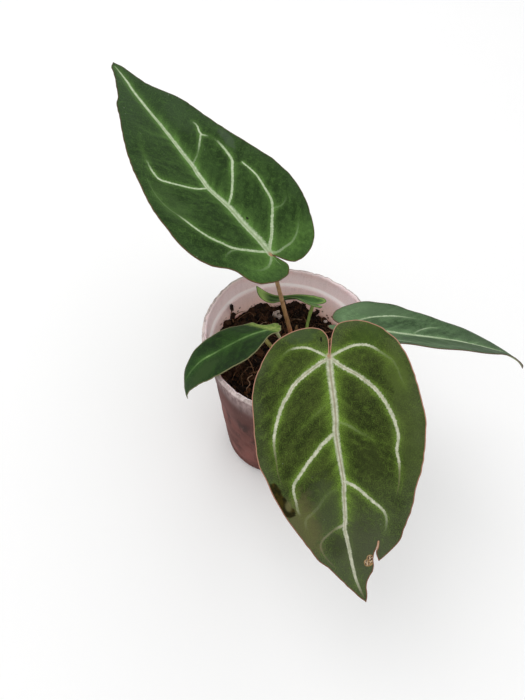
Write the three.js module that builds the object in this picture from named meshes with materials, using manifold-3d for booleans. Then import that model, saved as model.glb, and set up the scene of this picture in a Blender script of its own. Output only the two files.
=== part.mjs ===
// Potted anthurium with five velvet leaves in a frosted plastic cup. Millimetres, +Z up.
// The origin is the centre of the cup's base, and the front leaf points to -Y.
import * as THREE from 'three';
import Module from 'manifold-3d';
import { mergeVertices } from 'three/addons/utils/BufferGeometryUtils.js';

const wasm = await Module();
wasm.setup();

// Driving sizes of the cup
const CUP_HEIGHT = 116.4;
const RIM_RADIUS = 47.5;
const BASE_RADIUS = 30.5;
const WALL = 1.0;
const LEDGE_HEIGHT = 106.5;
const LEDGE_RADIUS = 44.9;
const DRAIN_RADIUS = 3;
const DRAIN_CIRCLE = 17;
const DRAIN_COUNT = 5;
const CUP_SIDES = 56;

// Driving sizes of the potting mix and the crown
const GAP = 0.3;
const MIX_LEVEL = 89.5;
const CHIP_COUNT = 150;
const MIX_SIDES = 48;
const MIX_RINGS = 11;
const CROWN_AT = [4, 8];
const CROWN_RADIUS = 4.6;
const CROWN_TOP = 96.5;
const CROWN_FOOT = 74;
const CROWN_SIDES = 14;

// Driving sizes of the blades and stalks
const BLADE_THICK = 0.7;
const RIB_SWEEP = 1.7;
const STALK_SIDES = 8;
const STALK_STEPS = 12;
const LEAVE_RISE = 5;
const LEAVE_REACH = 7;
const JOINT_SWELL = 1.25;
const JOINT_LONG = 3;

const COLOURS = {
  cup: 0xc9b3b4,
  mix: 0x33231a,
  crown: 0x6f5a3a,
  tanStalk: 0x8a6a45,
  greenStalk: 0x86a34f,
  oldStalk: 0x7c7a3a,
  blade: 0x2f4f2a,
  youngBlade: 0x3f7434,
};

// Each blade is drawn flat first: s runs from the stalk's joint to the tip and q to the side.
// An edge is a list of runs that meet at corners, and each run is a smooth curve through [s, q].
// heading, pitch and roll set the midrib's direction at the joint in degrees. turn and twist add to
// heading and roll over the length, hook turns the tip, droop and dip bend the midrib downwards,
// fold and curl bend the halves up, and wave is the height of the ripples along the edge.
const BLADES = {
  leaf_rear_left: {
    at: [-17.5, 31, 141.5], length: 153, half: 41, heading: 145, turn: -24, hook: 12, pitch: 20,
    droop: -17.4, dip: 0, roll: 4, twist: 0, fold: 12, curl: -6, wave: 0.7, waves: 5,
    left: [[[-1.4, -0.6], [-6, -2.2], [-11, -3.2], [-14, 0], [-14.5, 6], [-12.5, 15], [-8, 22.5],
      [-2, 25.5], [3, 28.5], [9, 36], [18, 40.5], [32, 41.5], [50, 39.5], [70, 34], [92, 25.5],
      [112, 18], [134, 9], [147, 4], [153, 0]]],
    right: [[[-1.4, 0.6], [-5, 3], [-9, 5.5], [-12, 8], [-13.5, 13], [-12.5, 21], [-6, 30], [4, 37],
      [18, 42], [32, 43.5], [50, 39.5], [70, 33], [92, 26.5], [112, 19.5], [130, 13], [144, 6.5],
      [153, 0]]],
    columns: 30, rows: 6, colour: 'blade',
  },
  leaf_front: {
    at: [15.5, -31.5, 145.5], length: 110.5, half: 37, heading: -82.5, turn: 22.5, hook: 5, pitch: -11.5,
    droop: -40, dip: 0, roll: 18, twist: 0, fold: 10, curl: -10, wave: 0.5, waves: 4,
    left: [[[-2, 0], [-7, 0.5], [-12, 1.4], [-16.5, 6.5], [-16.5, 13.5], [-12.5, 22], [-3.9, 29.5], [8, 35],
      [21.5, 36.5], [36, 36.5], [52, 33], [66.5, 27], [78.5, 21.5], [85.5, 15]],
      [[85.5, 15], [81.5, 13.5], [76, 11]],
      [[76, 11], [82, 10], [88, 8], [95, 6], [103, 3.1], [110.5, 0]]],
    right: [[[-2, 0], [-7, 0.5], [-12.5, 1.6], [-16, 7], [-14.5, 14.5], [-8, 24.5], [1, 30.5], [12.5, 34.5],
      [26.5, 35], [41, 34.5], [56, 30], [70.5, 24], [85, 16], [96, 10], [104, 5], [110.5, 0]]],
    columns: 32, rows: 6, colour: 'blade',
  },
  leaf_right: {
    at: [26.5, -0.5, 130], length: 101, half: 30, heading: -14, turn: 23.5, hook: 0, pitch: 12,
    droop: 0, dip: -54, roll: -32, twist: -5, fold: 8.5, curl: -4, wave: 0.6, waves: 5,
    left: [[[-1.5, 0], [-6, 2], [-10, 7], [-10, 16.5], [-5, 25.5], [4, 31.5], [16.5, 32.5], [31, 29],
      [47, 23], [63.5, 17.5], [78, 12], [90, 6.5], [101, 0]]],
    right: [[[-1.5, 0], [-5, 1.6], [-8, 4], [-8.5, 8.5], [-5, 14], [4, 23.5], [16.5, 30.5], [31, 31],
      [47, 26.5], [63.5, 19.5], [78, 11.5], [90, 4.5], [101, 0]]],
    columns: 26, rows: 5, colour: 'blade',
  },
  leaf_left: {
    at: [-9.5, -2.5, 122], length: 70, half: 17, heading: 210.5, turn: 12.5, hook: 0, pitch: 11,
    droop: -28, dip: -80, roll: 29.5, twist: -41, fold: 1, curl: -6, wave: 0.5, waves: 4,
    left: [[[-1, 0], [-3, 2.2], [-3.5, 4], [-2, 6], [4, 8.5], [14, 11], [28, 12], [40, 10.5],
      [52, 7], [61, 3], [70, 0]]],
    right: [[[-1, 0], [-5, 1.5], [-8.5, 4], [-7, 7.5], [2, 9.5], [14, 10.2], [28, 10], [40, 8.3],
      [52, 5.2], [61, 2.4], [70, 0]]],
    columns: 22, rows: 4, colour: 'youngBlade',
  },
  leaf_inner: {
    at: [9.1, 24.9, 111.6], length: 38, half: 11, heading: 176, turn: -9, hook: 0, pitch: -22.5,
    droop: 12.5, dip: 80, roll: 28, twist: -4, fold: -18, curl: 66, wave: 0, waves: 3,
    left: [[[-1, 0], [-4, 2.7], [-7, 6.8], [-5, 12.2], [2, 16.3], [10, 17], [20, 14.3], [28, 8.8],
      [34.5, 4], [38, 0]]],
    right: [[[-1, 0], [-4, 1.7], [-7, 4.3], [-5, 7.8], [2, 10.4], [10, 10.8], [20, 9.1], [28, 5.6],
      [34.5, 2.6], [38, 0]]],
    columns: 20, rows: 5, colour: 'youngBlade',
  },
};

// Each stalk leaves the crown at an azimuth and height and ends under its blade.
// The old stalk was cut off and ends at a free point.
const STALKS = {
  stalk_rear_left: {
    blade: 'leaf_rear_left', azimuth: 135, foot: 90, radius: 1.25, bow: [2.5, -6, 1], colour: 'tanStalk',
  },
  stalk_front: {
    blade: 'leaf_front', azimuth: -72, foot: 90, radius: 1.4, bow: [0, 4, -4], colour: 'tanStalk',
  },
  stalk_right: {
    blade: 'leaf_right', azimuth: -22, foot: 90, radius: 1.2, bow: [2, 1, -2], colour: 'tanStalk',
  },
  stalk_left: {
    blade: 'leaf_left', azimuth: 232, foot: 92, radius: 0.8, bow: [0, 0, 0], colour: 'greenStalk',
  },
  stalk_inner: {
    blade: 'leaf_inner', azimuth: 80, foot: 91, radius: 0.9, bow: [0, -1, 0], colour: 'greenStalk',
  },
  old_stalk: {
    end: [-15, 6.5, 101.5], azimuth: 192, foot: 90.5, radius: 1.15, bow: [0, -2.5, 0], colour: 'oldStalk',
  },
};

const rad = THREE.MathUtils.degToRad;

// Solids and geometries
function toSolid(geometry) {
  const bare = new THREE.BufferGeometry();
  bare.setAttribute('position', geometry.getAttribute('position').clone());
  bare.setIndex(geometry.getIndex());
  const merged = mergeVertices(bare, 1e-3);
  const vertProperties = Float32Array.from(merged.getAttribute('position').array);
  const triVerts = Uint32Array.from(merged.getIndex().array);
  return new wasm.Manifold(new wasm.Mesh({ numProp: 3, vertProperties, triVerts }));
}

function toGeometry(solid) {
  const mesh = solid.getMesh();
  const geometry = new THREE.BufferGeometry();
  geometry.setAttribute('position', new THREE.BufferAttribute(Float32Array.from(mesh.vertProperties), 3));
  geometry.setIndex(new THREE.BufferAttribute(Uint32Array.from(mesh.triVerts), 1));
  return geometry;
}

function meshFrom(points, triangles) {
  const geometry = new THREE.BufferGeometry();
  const numbers = points.flatMap((p) => [p.x, p.y, p.z]);
  geometry.setAttribute('position', new THREE.Float32BufferAttribute(numbers, 3));
  geometry.setIndex(triangles.flat());
  return geometry;
}

function makeMesh(name, geometry, colour, roughness) {
  geometry.computeVertexNormals();
  const material = new THREE.MeshStandardMaterial({ color: COLOURS[colour], roughness, metalness: 0 });
  const mesh = new THREE.Mesh(geometry, material);
  mesh.name = name;
  return mesh;
}

function seededRandom(seed) {
  let state = seed;
  return () => {
    state = (state * 16807) % 2147483647;
    return state / 2147483647;
  };
}

// Cup: a tapered wall, a stacking ledge under the flared band, and a rolled lip
function innerRadius(z) {
  return BASE_RADIUS - WALL + ((LEDGE_RADIUS - 1.4 - BASE_RADIUS) * z) / LEDGE_HEIGHT;
}

function cupProfile() {
  const wallTop = LEDGE_HEIGHT - 1.8;
  const outer = (z) => innerRadius(z) + WALL;
  return [
    [0, 0], [BASE_RADIUS - 2.4, 0], [BASE_RADIUS - 0.9, 0.5], [outer(2.2), 2.2],
    [outer(40), 40], [outer(75), 75], [outer(wallTop), wallTop],
    [LEDGE_RADIUS, LEDGE_HEIGHT], [RIM_RADIUS - 1.7, CUP_HEIGHT - 3.2], [RIM_RADIUS, CUP_HEIGHT - 2.9],
    [RIM_RADIUS, CUP_HEIGHT - 0.9], [RIM_RADIUS - 0.7, CUP_HEIGHT], [RIM_RADIUS - 1.9, CUP_HEIGHT],
    [RIM_RADIUS - 2.5, CUP_HEIGHT - 0.9], [LEDGE_RADIUS - WALL, LEDGE_HEIGHT + 0.5],
    [innerRadius(wallTop) - 0.1, wallTop + 0.6], [innerRadius(75), 75], [innerRadius(40), 40],
    [innerRadius(2.6), 2.6], [BASE_RADIUS - 2.9, WALL], [0, WALL],
  ].map(([r, z]) => new THREE.Vector2(r, z));
}

function uprightLathe(profile, sides) {
  const geometry = new THREE.LatheGeometry(profile, sides);
  geometry.rotateX(Math.PI / 2);
  return geometry;
}

function makeCup() {
  let cup = toSolid(uprightLathe(cupProfile(), CUP_SIDES));
  for (let i = 0; i < DRAIN_COUNT; i += 1) {
    const angle = (2 * Math.PI * i) / DRAIN_COUNT;
    const drill = new THREE.CylinderGeometry(DRAIN_RADIUS, DRAIN_RADIUS, 4 * WALL, 16);
    drill.rotateX(Math.PI / 2);
    drill.translate(DRAIN_CIRCLE * Math.cos(angle), DRAIN_CIRCLE * Math.sin(angle), 0);
    cup = cup.subtract(toSolid(drill));
  }
  return makeMesh('cup', toGeometry(cup), 'cup', 0.35);
}

// Potting mix: the cup's filling with bark and coco chips standing out of its top
function makeChips() {
  const random = seededRandom(71);
  const chips = [];
  for (let i = 0; i < CHIP_COUNT; i += 1) {
    const r = 40 * Math.sqrt(random());
    const angle = 2 * Math.PI * random();
    const size = 1.8 + 3.6 * random() ** 2;
    chips.push({
      x: r * Math.cos(angle), y: r * Math.sin(angle), size, long: 1 + 0.8 * random(),
      turn: Math.PI * random(), lift: 0.4 + 2.4 * random(), slopeX: random() - 0.5, slopeY: random() - 0.5,
    });
  }
  return chips;
}

const chips = makeChips();

function mixHeight(x, y) {
  const heap = 2.2 * Math.exp(-((x + 16) ** 2 + (y - 22) ** 2) / 420);
  const hollow = 1.5 * Math.exp(-((x - 14) ** 2 + (y + 24) ** 2) / 500);
  let top = 0;
  for (const chip of chips) {
    const dx = x - chip.x;
    const dy = y - chip.y;
    const u = dx * Math.cos(chip.turn) + dy * Math.sin(chip.turn);
    const v = dy * Math.cos(chip.turn) - dx * Math.sin(chip.turn);
    const reach = (u / (chip.size * chip.long)) ** 2 + (v / chip.size) ** 2;
    if (reach < 1) {
      top = Math.max(top, chip.lift + 0.5 * (chip.slopeX * dx + chip.slopeY * dy));
    }
  }
  return MIX_LEVEL + heap - hollow + top;
}

function makeMixSolid() {
  const points = [];
  const floor = WALL + GAP;
  const ring = (radius, height) => {
    for (let j = 0; j < MIX_SIDES; j += 1) {
      const angle = (2 * Math.PI * j) / MIX_SIDES;
      const x = radius * Math.cos(angle);
      const y = radius * Math.sin(angle);
      points.push(new THREE.Vector3(x, y, height === null ? mixHeight(x, y) : height));
    }
  };
  const side = (z) => innerRadius(z) - GAP - 0.1;
  points.push(new THREE.Vector3(0, 0, floor));
  ring(BASE_RADIUS - 4, floor);
  ring(side(5), 5);
  ring(side(45), 45);
  ring(side(MIX_LEVEL - 2), MIX_LEVEL - 2);
  for (let k = MIX_RINGS; k >= 1; k -= 1) {
    ring(((side(MIX_LEVEL) - 0.6) * k) / MIX_RINGS, null);
  }
  points.push(new THREE.Vector3(0, 0, mixHeight(0, 0)));
  const rings = MIX_RINGS + 4;
  const last = points.length - 1;
  const triangles = [];
  for (let j = 0; j < MIX_SIDES; j += 1) {
    const next = (j + 1) % MIX_SIDES;
    triangles.push([0, 1 + next, 1 + j]);
    for (let k = 0; k < rings - 1; k += 1) {
      const a = 1 + k * MIX_SIDES;
      const b = a + MIX_SIDES;
      triangles.push([a + j, a + next, b + next], [a + j, b + next, b + j]);
    }
    const top = 1 + (rings - 1) * MIX_SIDES;
    triangles.push([top + j, top + next, last]);
  }
  return toSolid(meshFrom(points, triangles));
}

// Crown: the short stem that all the stalks grow from
function crownGeometry(extra) {
  const r = CROWN_RADIUS + extra;
  const foot = CROWN_FOOT - extra;
  const top = CROWN_TOP + extra;
  const profile = [
    [0, foot], [0.4 * r, foot], [0.8 * r, foot + 7], [r, foot + 13],
    [r, top - 4], [0.75 * r, top - 1], [0.3 * r, top], [0, top],
  ].map(([x, z]) => new THREE.Vector2(x, z));
  const geometry = uprightLathe(profile, CROWN_SIDES);
  geometry.translate(CROWN_AT[0], CROWN_AT[1], 0);
  return geometry;
}

// Blades: the flat outline, the bent surface and the thin solid
function smoothRun(run, count) {
  const points = run.map(([s, q]) => new THREE.Vector3(s, q, 0));
  return new THREE.CatmullRomCurve3(points, false, 'centripetal').getSpacedPoints(count);
}

function edgePoints(runs, columns) {
  const lengths = runs.map((run) => {
    const points = smoothRun(run, 20);
    return points.reduce((sum, point, i) => sum + point.distanceTo(points[Math.max(0, i - 1)]), 0);
  });
  const whole = lengths.reduce((a, b) => a + b, 0);
  const shares = lengths.map((length) => Math.max(2, Math.round((columns * length) / whole)));
  shares[0] += columns - shares.reduce((a, b) => a + b, 0);
  return runs.flatMap((run, i) => smoothRun(run, shares[i]).slice(i ? 1 : 0));
}

function axesAt(blade, s) {
  const x = s / blade.length;
  const heading = rad(blade.heading + blade.turn * x + blade.hook * x ** 4);
  const pitch = rad(blade.pitch + blade.droop * x + blade.dip * x * Math.abs(x));
  const roll = rad(blade.roll + blade.twist * x);
  const along = new THREE.Vector3(Math.cos(heading), Math.sin(heading), 0).multiplyScalar(Math.cos(pitch));
  along.z = Math.sin(pitch);
  const level = new THREE.Vector3(-Math.sin(heading), Math.cos(heading), 0);
  const lifted = new THREE.Vector3().crossVectors(along, level);
  const side = level.multiplyScalar(Math.cos(roll)).addScaledVector(lifted, Math.sin(roll));
  return { along, side, up: new THREE.Vector3().crossVectors(along, side) };
}

function makeMidrib(blade) {
  const step = blade.length / 160;
  const forward = [new THREE.Vector3(...blade.at)];
  const backward = [new THREE.Vector3(...blade.at)];
  for (let i = 0; i < 164; i += 1) {
    forward.push(forward[i].clone().addScaledVector(axesAt(blade, (i + 0.5) * step).along, step));
  }
  for (let i = 0; i < 50; i += 1) {
    backward.push(backward[i].clone().addScaledVector(axesAt(blade, -(i + 0.5) * step).along, -step));
  }
  return (s) => {
    const list = s < 0 ? backward : forward;
    const place = Math.abs(s) / step;
    const i = Math.floor(place);
    return list[i].clone().lerp(list[i + 1], place - i);
  };
}

function bladeSurface(blade) {
  const midrib = makeMidrib(blade);
  const fold = rad(blade.fold);
  const bend = rad(blade.curl) / blade.half;
  return (s, q) => {
    const { side, up } = axesAt(blade, s);
    const reach = Math.abs(q);
    const across = (Math.sin(fold + bend * reach) - Math.sin(fold)) / bend;
    const phase = (2 * Math.PI * blade.waves * s) / blade.length + Math.sign(q);
    const ripple = blade.wave * (reach / blade.half) ** 2 * Math.sin(phase);
    const lift = (Math.cos(fold) - Math.cos(fold + bend * reach)) / bend + ripple;
    return midrib(s).addScaledVector(side, Math.sign(q) * across).addScaledVector(up, lift);
  };
}

function surfaceNormal(surface, s, q) {
  const e = 0.4;
  const ds = surface(s + e, q).sub(surface(s - e, q));
  const dq = surface(s, q + e).sub(surface(s, q - e));
  return ds.cross(dq).normalize();
}

// The rows of a blade run from the midrib to the edge, swept forward as its veins are
function bladeGrid(blade) {
  const grid = [];
  for (const [sign, runs] of [[1, blade.left], [-1, blade.right]]) {
    const edge = edgePoints(runs, blade.columns);
    const half = edge.map((point, i) => {
      const rib = blade.length * (i / blade.columns) ** RIB_SWEEP;
      const line = [];
      for (let k = 0; k <= blade.rows; k += 1) {
        const share = k / blade.rows;
        line.push([rib + (point.x - rib) * share, sign * point.y * share]);
      }
      return line;
    });
    grid.push(half);
  }
  return grid;
}

function bladeGeometry(blade, thickness) {
  const surface = bladeSurface(blade);
  const points = [];
  const triangles = [];
  const columns = blade.columns;
  const rows = blade.rows;
  const face = (side) => {
    const start = points.length;
    for (const half of bladeGrid(blade)) {
      for (const line of half) {
        for (const [s, q] of line) {
          const offset = surfaceNormal(surface, s, q).multiplyScalar((side * thickness) / 2);
          points.push(surface(s, q).add(offset));
        }
      }
    }
    return start;
  };
  const top = face(1);
  const bottom = face(-1);
  const width = rows + 1;
  const halfSize = (columns + 1) * width;
  for (const [h, turned] of [[0, false], [1, true]]) {
    const at = (start, i, k) => start + h * halfSize + i * width + k;
    const add = (a, b, c, flip) => triangles.push(flip ? [a, c, b] : [a, b, c]);
    for (let i = 0; i < columns; i += 1) {
      for (let k = 0; k < rows; k += 1) {
        add(at(top, i, k), at(top, i + 1, k), at(top, i + 1, k + 1), turned);
        add(at(top, i, k), at(top, i + 1, k + 1), at(top, i, k + 1), turned);
        add(at(bottom, i, k), at(bottom, i + 1, k), at(bottom, i + 1, k + 1), !turned);
        add(at(bottom, i, k), at(bottom, i + 1, k + 1), at(bottom, i, k + 1), !turned);
      }
      add(at(top, i, rows), at(top, i + 1, rows), at(bottom, i + 1, rows), turned);
      add(at(top, i, rows), at(bottom, i + 1, rows), at(bottom, i, rows), turned);
    }
  }
  return meshFrom(points, triangles);
}

// Stalks: a bent tube with a swollen joint under its blade
function stalkPath(stalk) {
  const azimuth = rad(stalk.azimuth);
  const out = new THREE.Vector3(Math.cos(azimuth), Math.sin(azimuth), 0);
  const foot = new THREE.Vector3(...CROWN_AT, stalk.foot).addScaledVector(out, 1.5);
  const leave = new THREE.Vector3(...CROWN_AT, stalk.foot + LEAVE_RISE).addScaledVector(out, LEAVE_REACH);
  let end;
  if (stalk.blade) {
    const blade = BLADES[stalk.blade];
    const normal = surfaceNormal(bladeSurface(blade), 0, 0);
    end = new THREE.Vector3(...blade.at).addScaledVector(normal, -BLADE_THICK / 2 - GAP);
  } else {
    end = new THREE.Vector3(...stalk.end);
  }
  const middle = leave.clone().lerp(end, 0.5).add(new THREE.Vector3(...stalk.bow));
  return new THREE.CatmullRomCurve3([foot, leave, middle, end]);
}

function stalkSolid(stalk, extra) {
  const path = stalkPath(stalk);
  const radius = stalk.radius + extra;
  const section = new THREE.Shape();
  section.absarc(0, 0, radius, 0, 2 * Math.PI, false);
  const tube = new THREE.ExtrudeGeometry(section, {
    extrudePath: path, steps: STALK_STEPS, bevelEnabled: false, curveSegments: STALK_SIDES / 2,
  });
  let solid = toSolid(tube);
  if (stalk.blade) {
    const joint = new THREE.SphereGeometry(1, STALK_SIDES, 8);
    joint.scale(radius * JOINT_SWELL, radius * JOINT_SWELL, radius * JOINT_LONG);
    const tangent = path.getTangentAt(1);
    const turn = new THREE.Quaternion().setFromUnitVectors(new THREE.Vector3(0, 0, 1), tangent);
    joint.applyQuaternion(turn);
    const centre = path.getPointAt(1).addScaledVector(tangent, -radius * JOINT_LONG * 0.85);
    joint.translate(centre.x, centre.y, centre.z);
    solid = solid.add(toSolid(joint));
  }
  return solid;
}

function largestPiece(solid) {
  return solid.decompose().reduce((best, piece) => (piece.volume() > best.volume() ? piece : best));
}

function makePlant() {
  const group = new THREE.Group();
  group.add(makeCup());
  const crownHole = toSolid(crownGeometry(GAP));
  let mix = makeMixSolid().subtract(crownHole);
  for (const [name, stalk] of Object.entries(STALKS)) {
    mix = mix.subtract(stalkSolid(stalk, GAP));
    let solid = stalkSolid(stalk, 0).subtract(crownHole);
    if (stalk.blade) {
      solid = solid.subtract(toSolid(bladeGeometry(BLADES[stalk.blade], BLADE_THICK + 2 * GAP)));
    }
    group.add(makeMesh(name, toGeometry(largestPiece(solid)), stalk.colour, 0.5));
  }
  group.add(makeMesh('potting_mix', toGeometry(largestPiece(mix)), 'mix', 0.95));
  group.add(makeMesh('crown', crownGeometry(0), 'crown', 0.8));
  for (const [name, blade] of Object.entries(BLADES)) {
    group.add(makeMesh(name, bladeGeometry(blade, BLADE_THICK), blade.colour, 0.55));
  }
  return group;
}

const group = makePlant();

export default group;
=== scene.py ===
from functools import reduce
from math import ceil, cos, hypot, pi, radians, sin, sqrt

import bmesh
import bpy
import numpy as np
from mathutils import Matrix, Vector


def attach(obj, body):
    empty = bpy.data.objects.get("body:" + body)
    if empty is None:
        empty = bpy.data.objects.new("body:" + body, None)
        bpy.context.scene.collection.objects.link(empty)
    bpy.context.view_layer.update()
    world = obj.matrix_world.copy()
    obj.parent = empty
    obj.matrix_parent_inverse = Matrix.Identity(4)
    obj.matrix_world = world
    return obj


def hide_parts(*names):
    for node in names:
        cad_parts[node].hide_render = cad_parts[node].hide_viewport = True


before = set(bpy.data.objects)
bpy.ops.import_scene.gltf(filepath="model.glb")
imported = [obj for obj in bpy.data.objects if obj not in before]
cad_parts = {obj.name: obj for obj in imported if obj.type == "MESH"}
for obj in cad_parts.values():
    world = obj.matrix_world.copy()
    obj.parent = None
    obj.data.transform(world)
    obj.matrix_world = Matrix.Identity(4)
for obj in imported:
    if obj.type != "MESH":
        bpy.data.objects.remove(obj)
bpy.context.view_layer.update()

# Potted anthurium: five velvet leaves with pale veins in a frosted plastic cup of bark mix.
# Shapes are worked out in millimetres and turned to metres where a mesh is made.
MM = 0.001

# Cup, mix and crown
CUP_HEIGHT = 116.4
RIM_RADIUS = 47.5
BASE_RADIUS = 30.5
WALL = 1.0
LEDGE_HEIGHT = 106.5
LEDGE_RADIUS = 44.9
DRAIN_RADIUS = 3
DRAIN_CIRCLE = 17
DRAIN_COUNT = 5
CUP_SIDES = 224
RIM_WAVE = 0.35
LIP_WEAR = 0.7
MIX_LEVEL = 89.5
MIX_SIDES = 300
MIX_RINGS = 74
CROWN_AT = (4, 8)
CROWN_RADIUS = 4.6
CROWN_TOP = 96.5
CROWN_FOOT = 74
CROWN_RINGS = 64
CROWN_SIDES = 48
CORNER_REACH = 0.55
PROFILE_STEP = 2.6
MIX_DROP = 2.1

# Blades and stalks
BLADE_THICK = 0.7
EDGE_THICK = 0.34
RIB_SWEEP = 1.7
EDGE_WAVE = 0.6
GAP = 0.3
STALK_STEPS = 90
STALK_SIDES = 20
LEAVE_RISE = 5
LEAVE_REACH = 7
FAR = 9.0
CURVE_STEPS = 24
RIB_STEPS, RIB_BEFORE, RIB_BEYOND = 160, 50, 4
PUFF, TOP_RELIEF, UNDER_RELIEF = 0.5, 0.3, 0.55
MARK_LIFTS = (-0.15, 0.22, 0.5)

# Counts of the loose pieces, and how far from the middle they may start and reach
CHIP_SEED, CHIP_COUNT, CHIP_CIRCLE = 71, 150, 40
BARK_COUNT, BARK_CIRCLE, BARK_REACH = 330, 38.5, 40
FIBRE_COUNT, FIBRE_CIRCLE, FIBRE_REACH = 300, 38, 39
TUFT_COUNT, CRUMB_REACH, STRAND_REACH = 150, 40.3, 40
GRAIN_COUNT, GRAIN_CIRCLE = 20, 37
ONE_TURN = 6.283

# Camera and light
IMAGE_FOCUS = 525
IMAGE_HEIGHT = 700
SENSOR = 36
CAMERA_AT = (-14.4, -165.0, 336.6)
CAMERA_ELEVATION = 55.3
CAMERA_ROLL = 7.8

# s runs from the stalk's joint to the tip and q to the side, left being plus.
BLADES = {
    "leaf_rear_left": dict(at=(-17.5, 31, 141.5), length=153, half=41, heading=145, turn=-24, hook=12,
      pitch=20, droop=-17.4, roll=4, fold=12, curl=-6, wave=0.7, waves=5,
      left=[[(-1.4, -0.6), (-6, -2.2), (-11, -3.4), (-14.3, 0), (-14.8, 6), (-12.6, 15), (-8, 22.8),
      (3, 28.6), (9, 36.2), (18, 40.3), (32, 42), (50, 38.9), (70, 34.1), (92, 26.2), (102, 22), (112, 18.2),
      (123, 12.6), (141, 5.4), (152, 1.8), (155.5, -1.2)]],
      right=[[(-1.4, 0.6), (-9, 4.8), (-12, 7.8), (-13.5, 13), (-12.4, 21), (-6, 30), (4.4, 36.2),
      (18, 40.6), (25, 42.5), (32, 42.6), (40.5, 40.3), (49.5, 38.6), (59.6, 35.4), (69, 31.4), (79.5, 27.4),
      (90.6, 24.5), (110.4, 17.5), (118.4, 13.5), (126.5, 9.2), (133.7, 6.7), (149, 3.2), (155.5, 1.2)]],
      columns=250, rows=58),
    "leaf_front": dict(at=(15.5, -31.5, 145.5), length=110.5, half=37, heading=-82.5, turn=22.5, hook=5,
      pitch=-11.5, droop=-40, roll=18, fold=10, curl=-10, wave=0.5, waves=4,
      left=[[(-2, 0.3), (-12.4, 2.1), (-15.4, 4), (-16.8, 8), (-16.3, 14), (-12.5, 22), (-3.9, 29.5),
      (8, 34.6), (21.5, 36.6), (36, 36.8), (52, 32.6), (58.7, 29.5), (66.5, 27), (78.3, 21.4), (81.8, 19.5),
      (88.8, 11.8), (90.9, 9.1)], [(90.9, 9.1), (86.2, 8.75), (83.8, 9.9), (81.2, 10.6)], [(81.2, 10.6),
      (83.8, 9.7), (86, 8.25), (88.6, 7.35), (92.2, 6.7), (94.9, 5.8), (102.4, 2.3), (107.3, 1.6),
      (112, 0.3)]],
      right=[[(-2, 0.1), (-6, -0.1), (-9.8, 0.4), (-12.8, 2.2), (-14.6, 5.1), (-15, 8.4), (-13.8, 15),
      (-8, 24.5), (1, 30.5), (12.5, 34.5), (26.5, 35), (41, 34.5), (48, 32.8), (70.4, 23.7), (77.7, 19.5),
      (85, 15.9), (90.3, 11.9), (95.2, 9), (103, 4.4), (108.6, 1.6), (112, -0.3)]],
      columns=250, rows=60),
    "leaf_right": dict(at=(26.5, -0.5, 130), length=101, half=30, heading=-12.3, turn=22.8, hook=-0.8,
      pitch=11.3, droop=3, dip=-51.5, drop=-23, roll=-31.3, twist=-5.8, fold=3.9, curl=13.2, wave=0.25,
      waves=5,
      left=[[(-1.5, 0), (-6, 2), (-10, 6.8), (-10, 16), (-5, 24.6), (4, 30.4), (16.5, 31.3), (31, 28.4),
      (47, 23), (63.5, 18), (72, 15.2), (84, 7.8), (88, 3.6), (92, 1.4), (96.5, 1), (101, 0)]],
      right=[[(-1.5, 0), (-5, 1.6), (-8, 4), (-8.5, 8.5), (4, 23.5), (16.5, 30.5), (31, 31), (47, 26.5),
      (56, 22), (63, 17.2), (69, 12), (75, 7.8), (87, 1.8), (97, 0.7), (101, 0)]],
      columns=190, rows=46),
    "leaf_left": dict(at=(-9.5, -2.5, 122), length=70, half=17, heading=210.5, turn=12.5, pitch=11,
      droop=-28, dip=-80, roll=29.5, twist=-41, fold=1, curl=-6, wave=0.5, waves=4,
      left=[[(-3.4, -0.2), (-2.8, 1.6), (1, 4.6), (3.4, 4.4), (6.8, 5.9), (17, 13), (23, 14.3), (40.3, 11.5),
      (47.4, 8.9), (59.5, 3.9), (63.2, 3.3), (66.8, 3.8)]],
      right=[[(-3.4, 0.2), (-5.4, 3.2), (-4.9, 4.9), (-6.1, 6.6), (-4.6, 8.6), (-1.2, 7.4), (1.6, 6.8),
      (5, 8.6), (7, 11.9), (9.2, 11.4), (18.9, 11.9), (27.4, 11.1), (34.8, 10.4), (52, 5), (58.9, 0.4),
      (66.8, -3.8)]],
      columns=170, rows=28),
    "leaf_inner": dict(at=(10, 25.1, 111.8), length=36.5, half=11, heading=175.7, turn=-7.3, pitch=-22.6,
      droop=8.8, dip=79, roll=40, twist=33, sway=-67.5, fold=-2.4, curl=18.8, right_fold=-11.8,
      right_curl=66.7, arch=(6.4, 10.7, 9.7), waves=3,
      left=[[(-1, 0), (-6.8, 5.6), (-4.9, 10), (1.9, 12.3), (9.8, 10.6), (19.6, 9.5), (27.4, 7.1),
      (33.7, 3.3), (37.2, 0)]],
      right=[[(-1, 0), (-3.9, 1.7), (-6.8, 4.4), (-4.9, 7.8), (1.9, 9.8), (9.8, 8.1), (19.6, 7.2),
      (27.4, 5.4), (33.7, 2.6), (37.2, 0)]],
      columns=110, rows=28),
}

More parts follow.
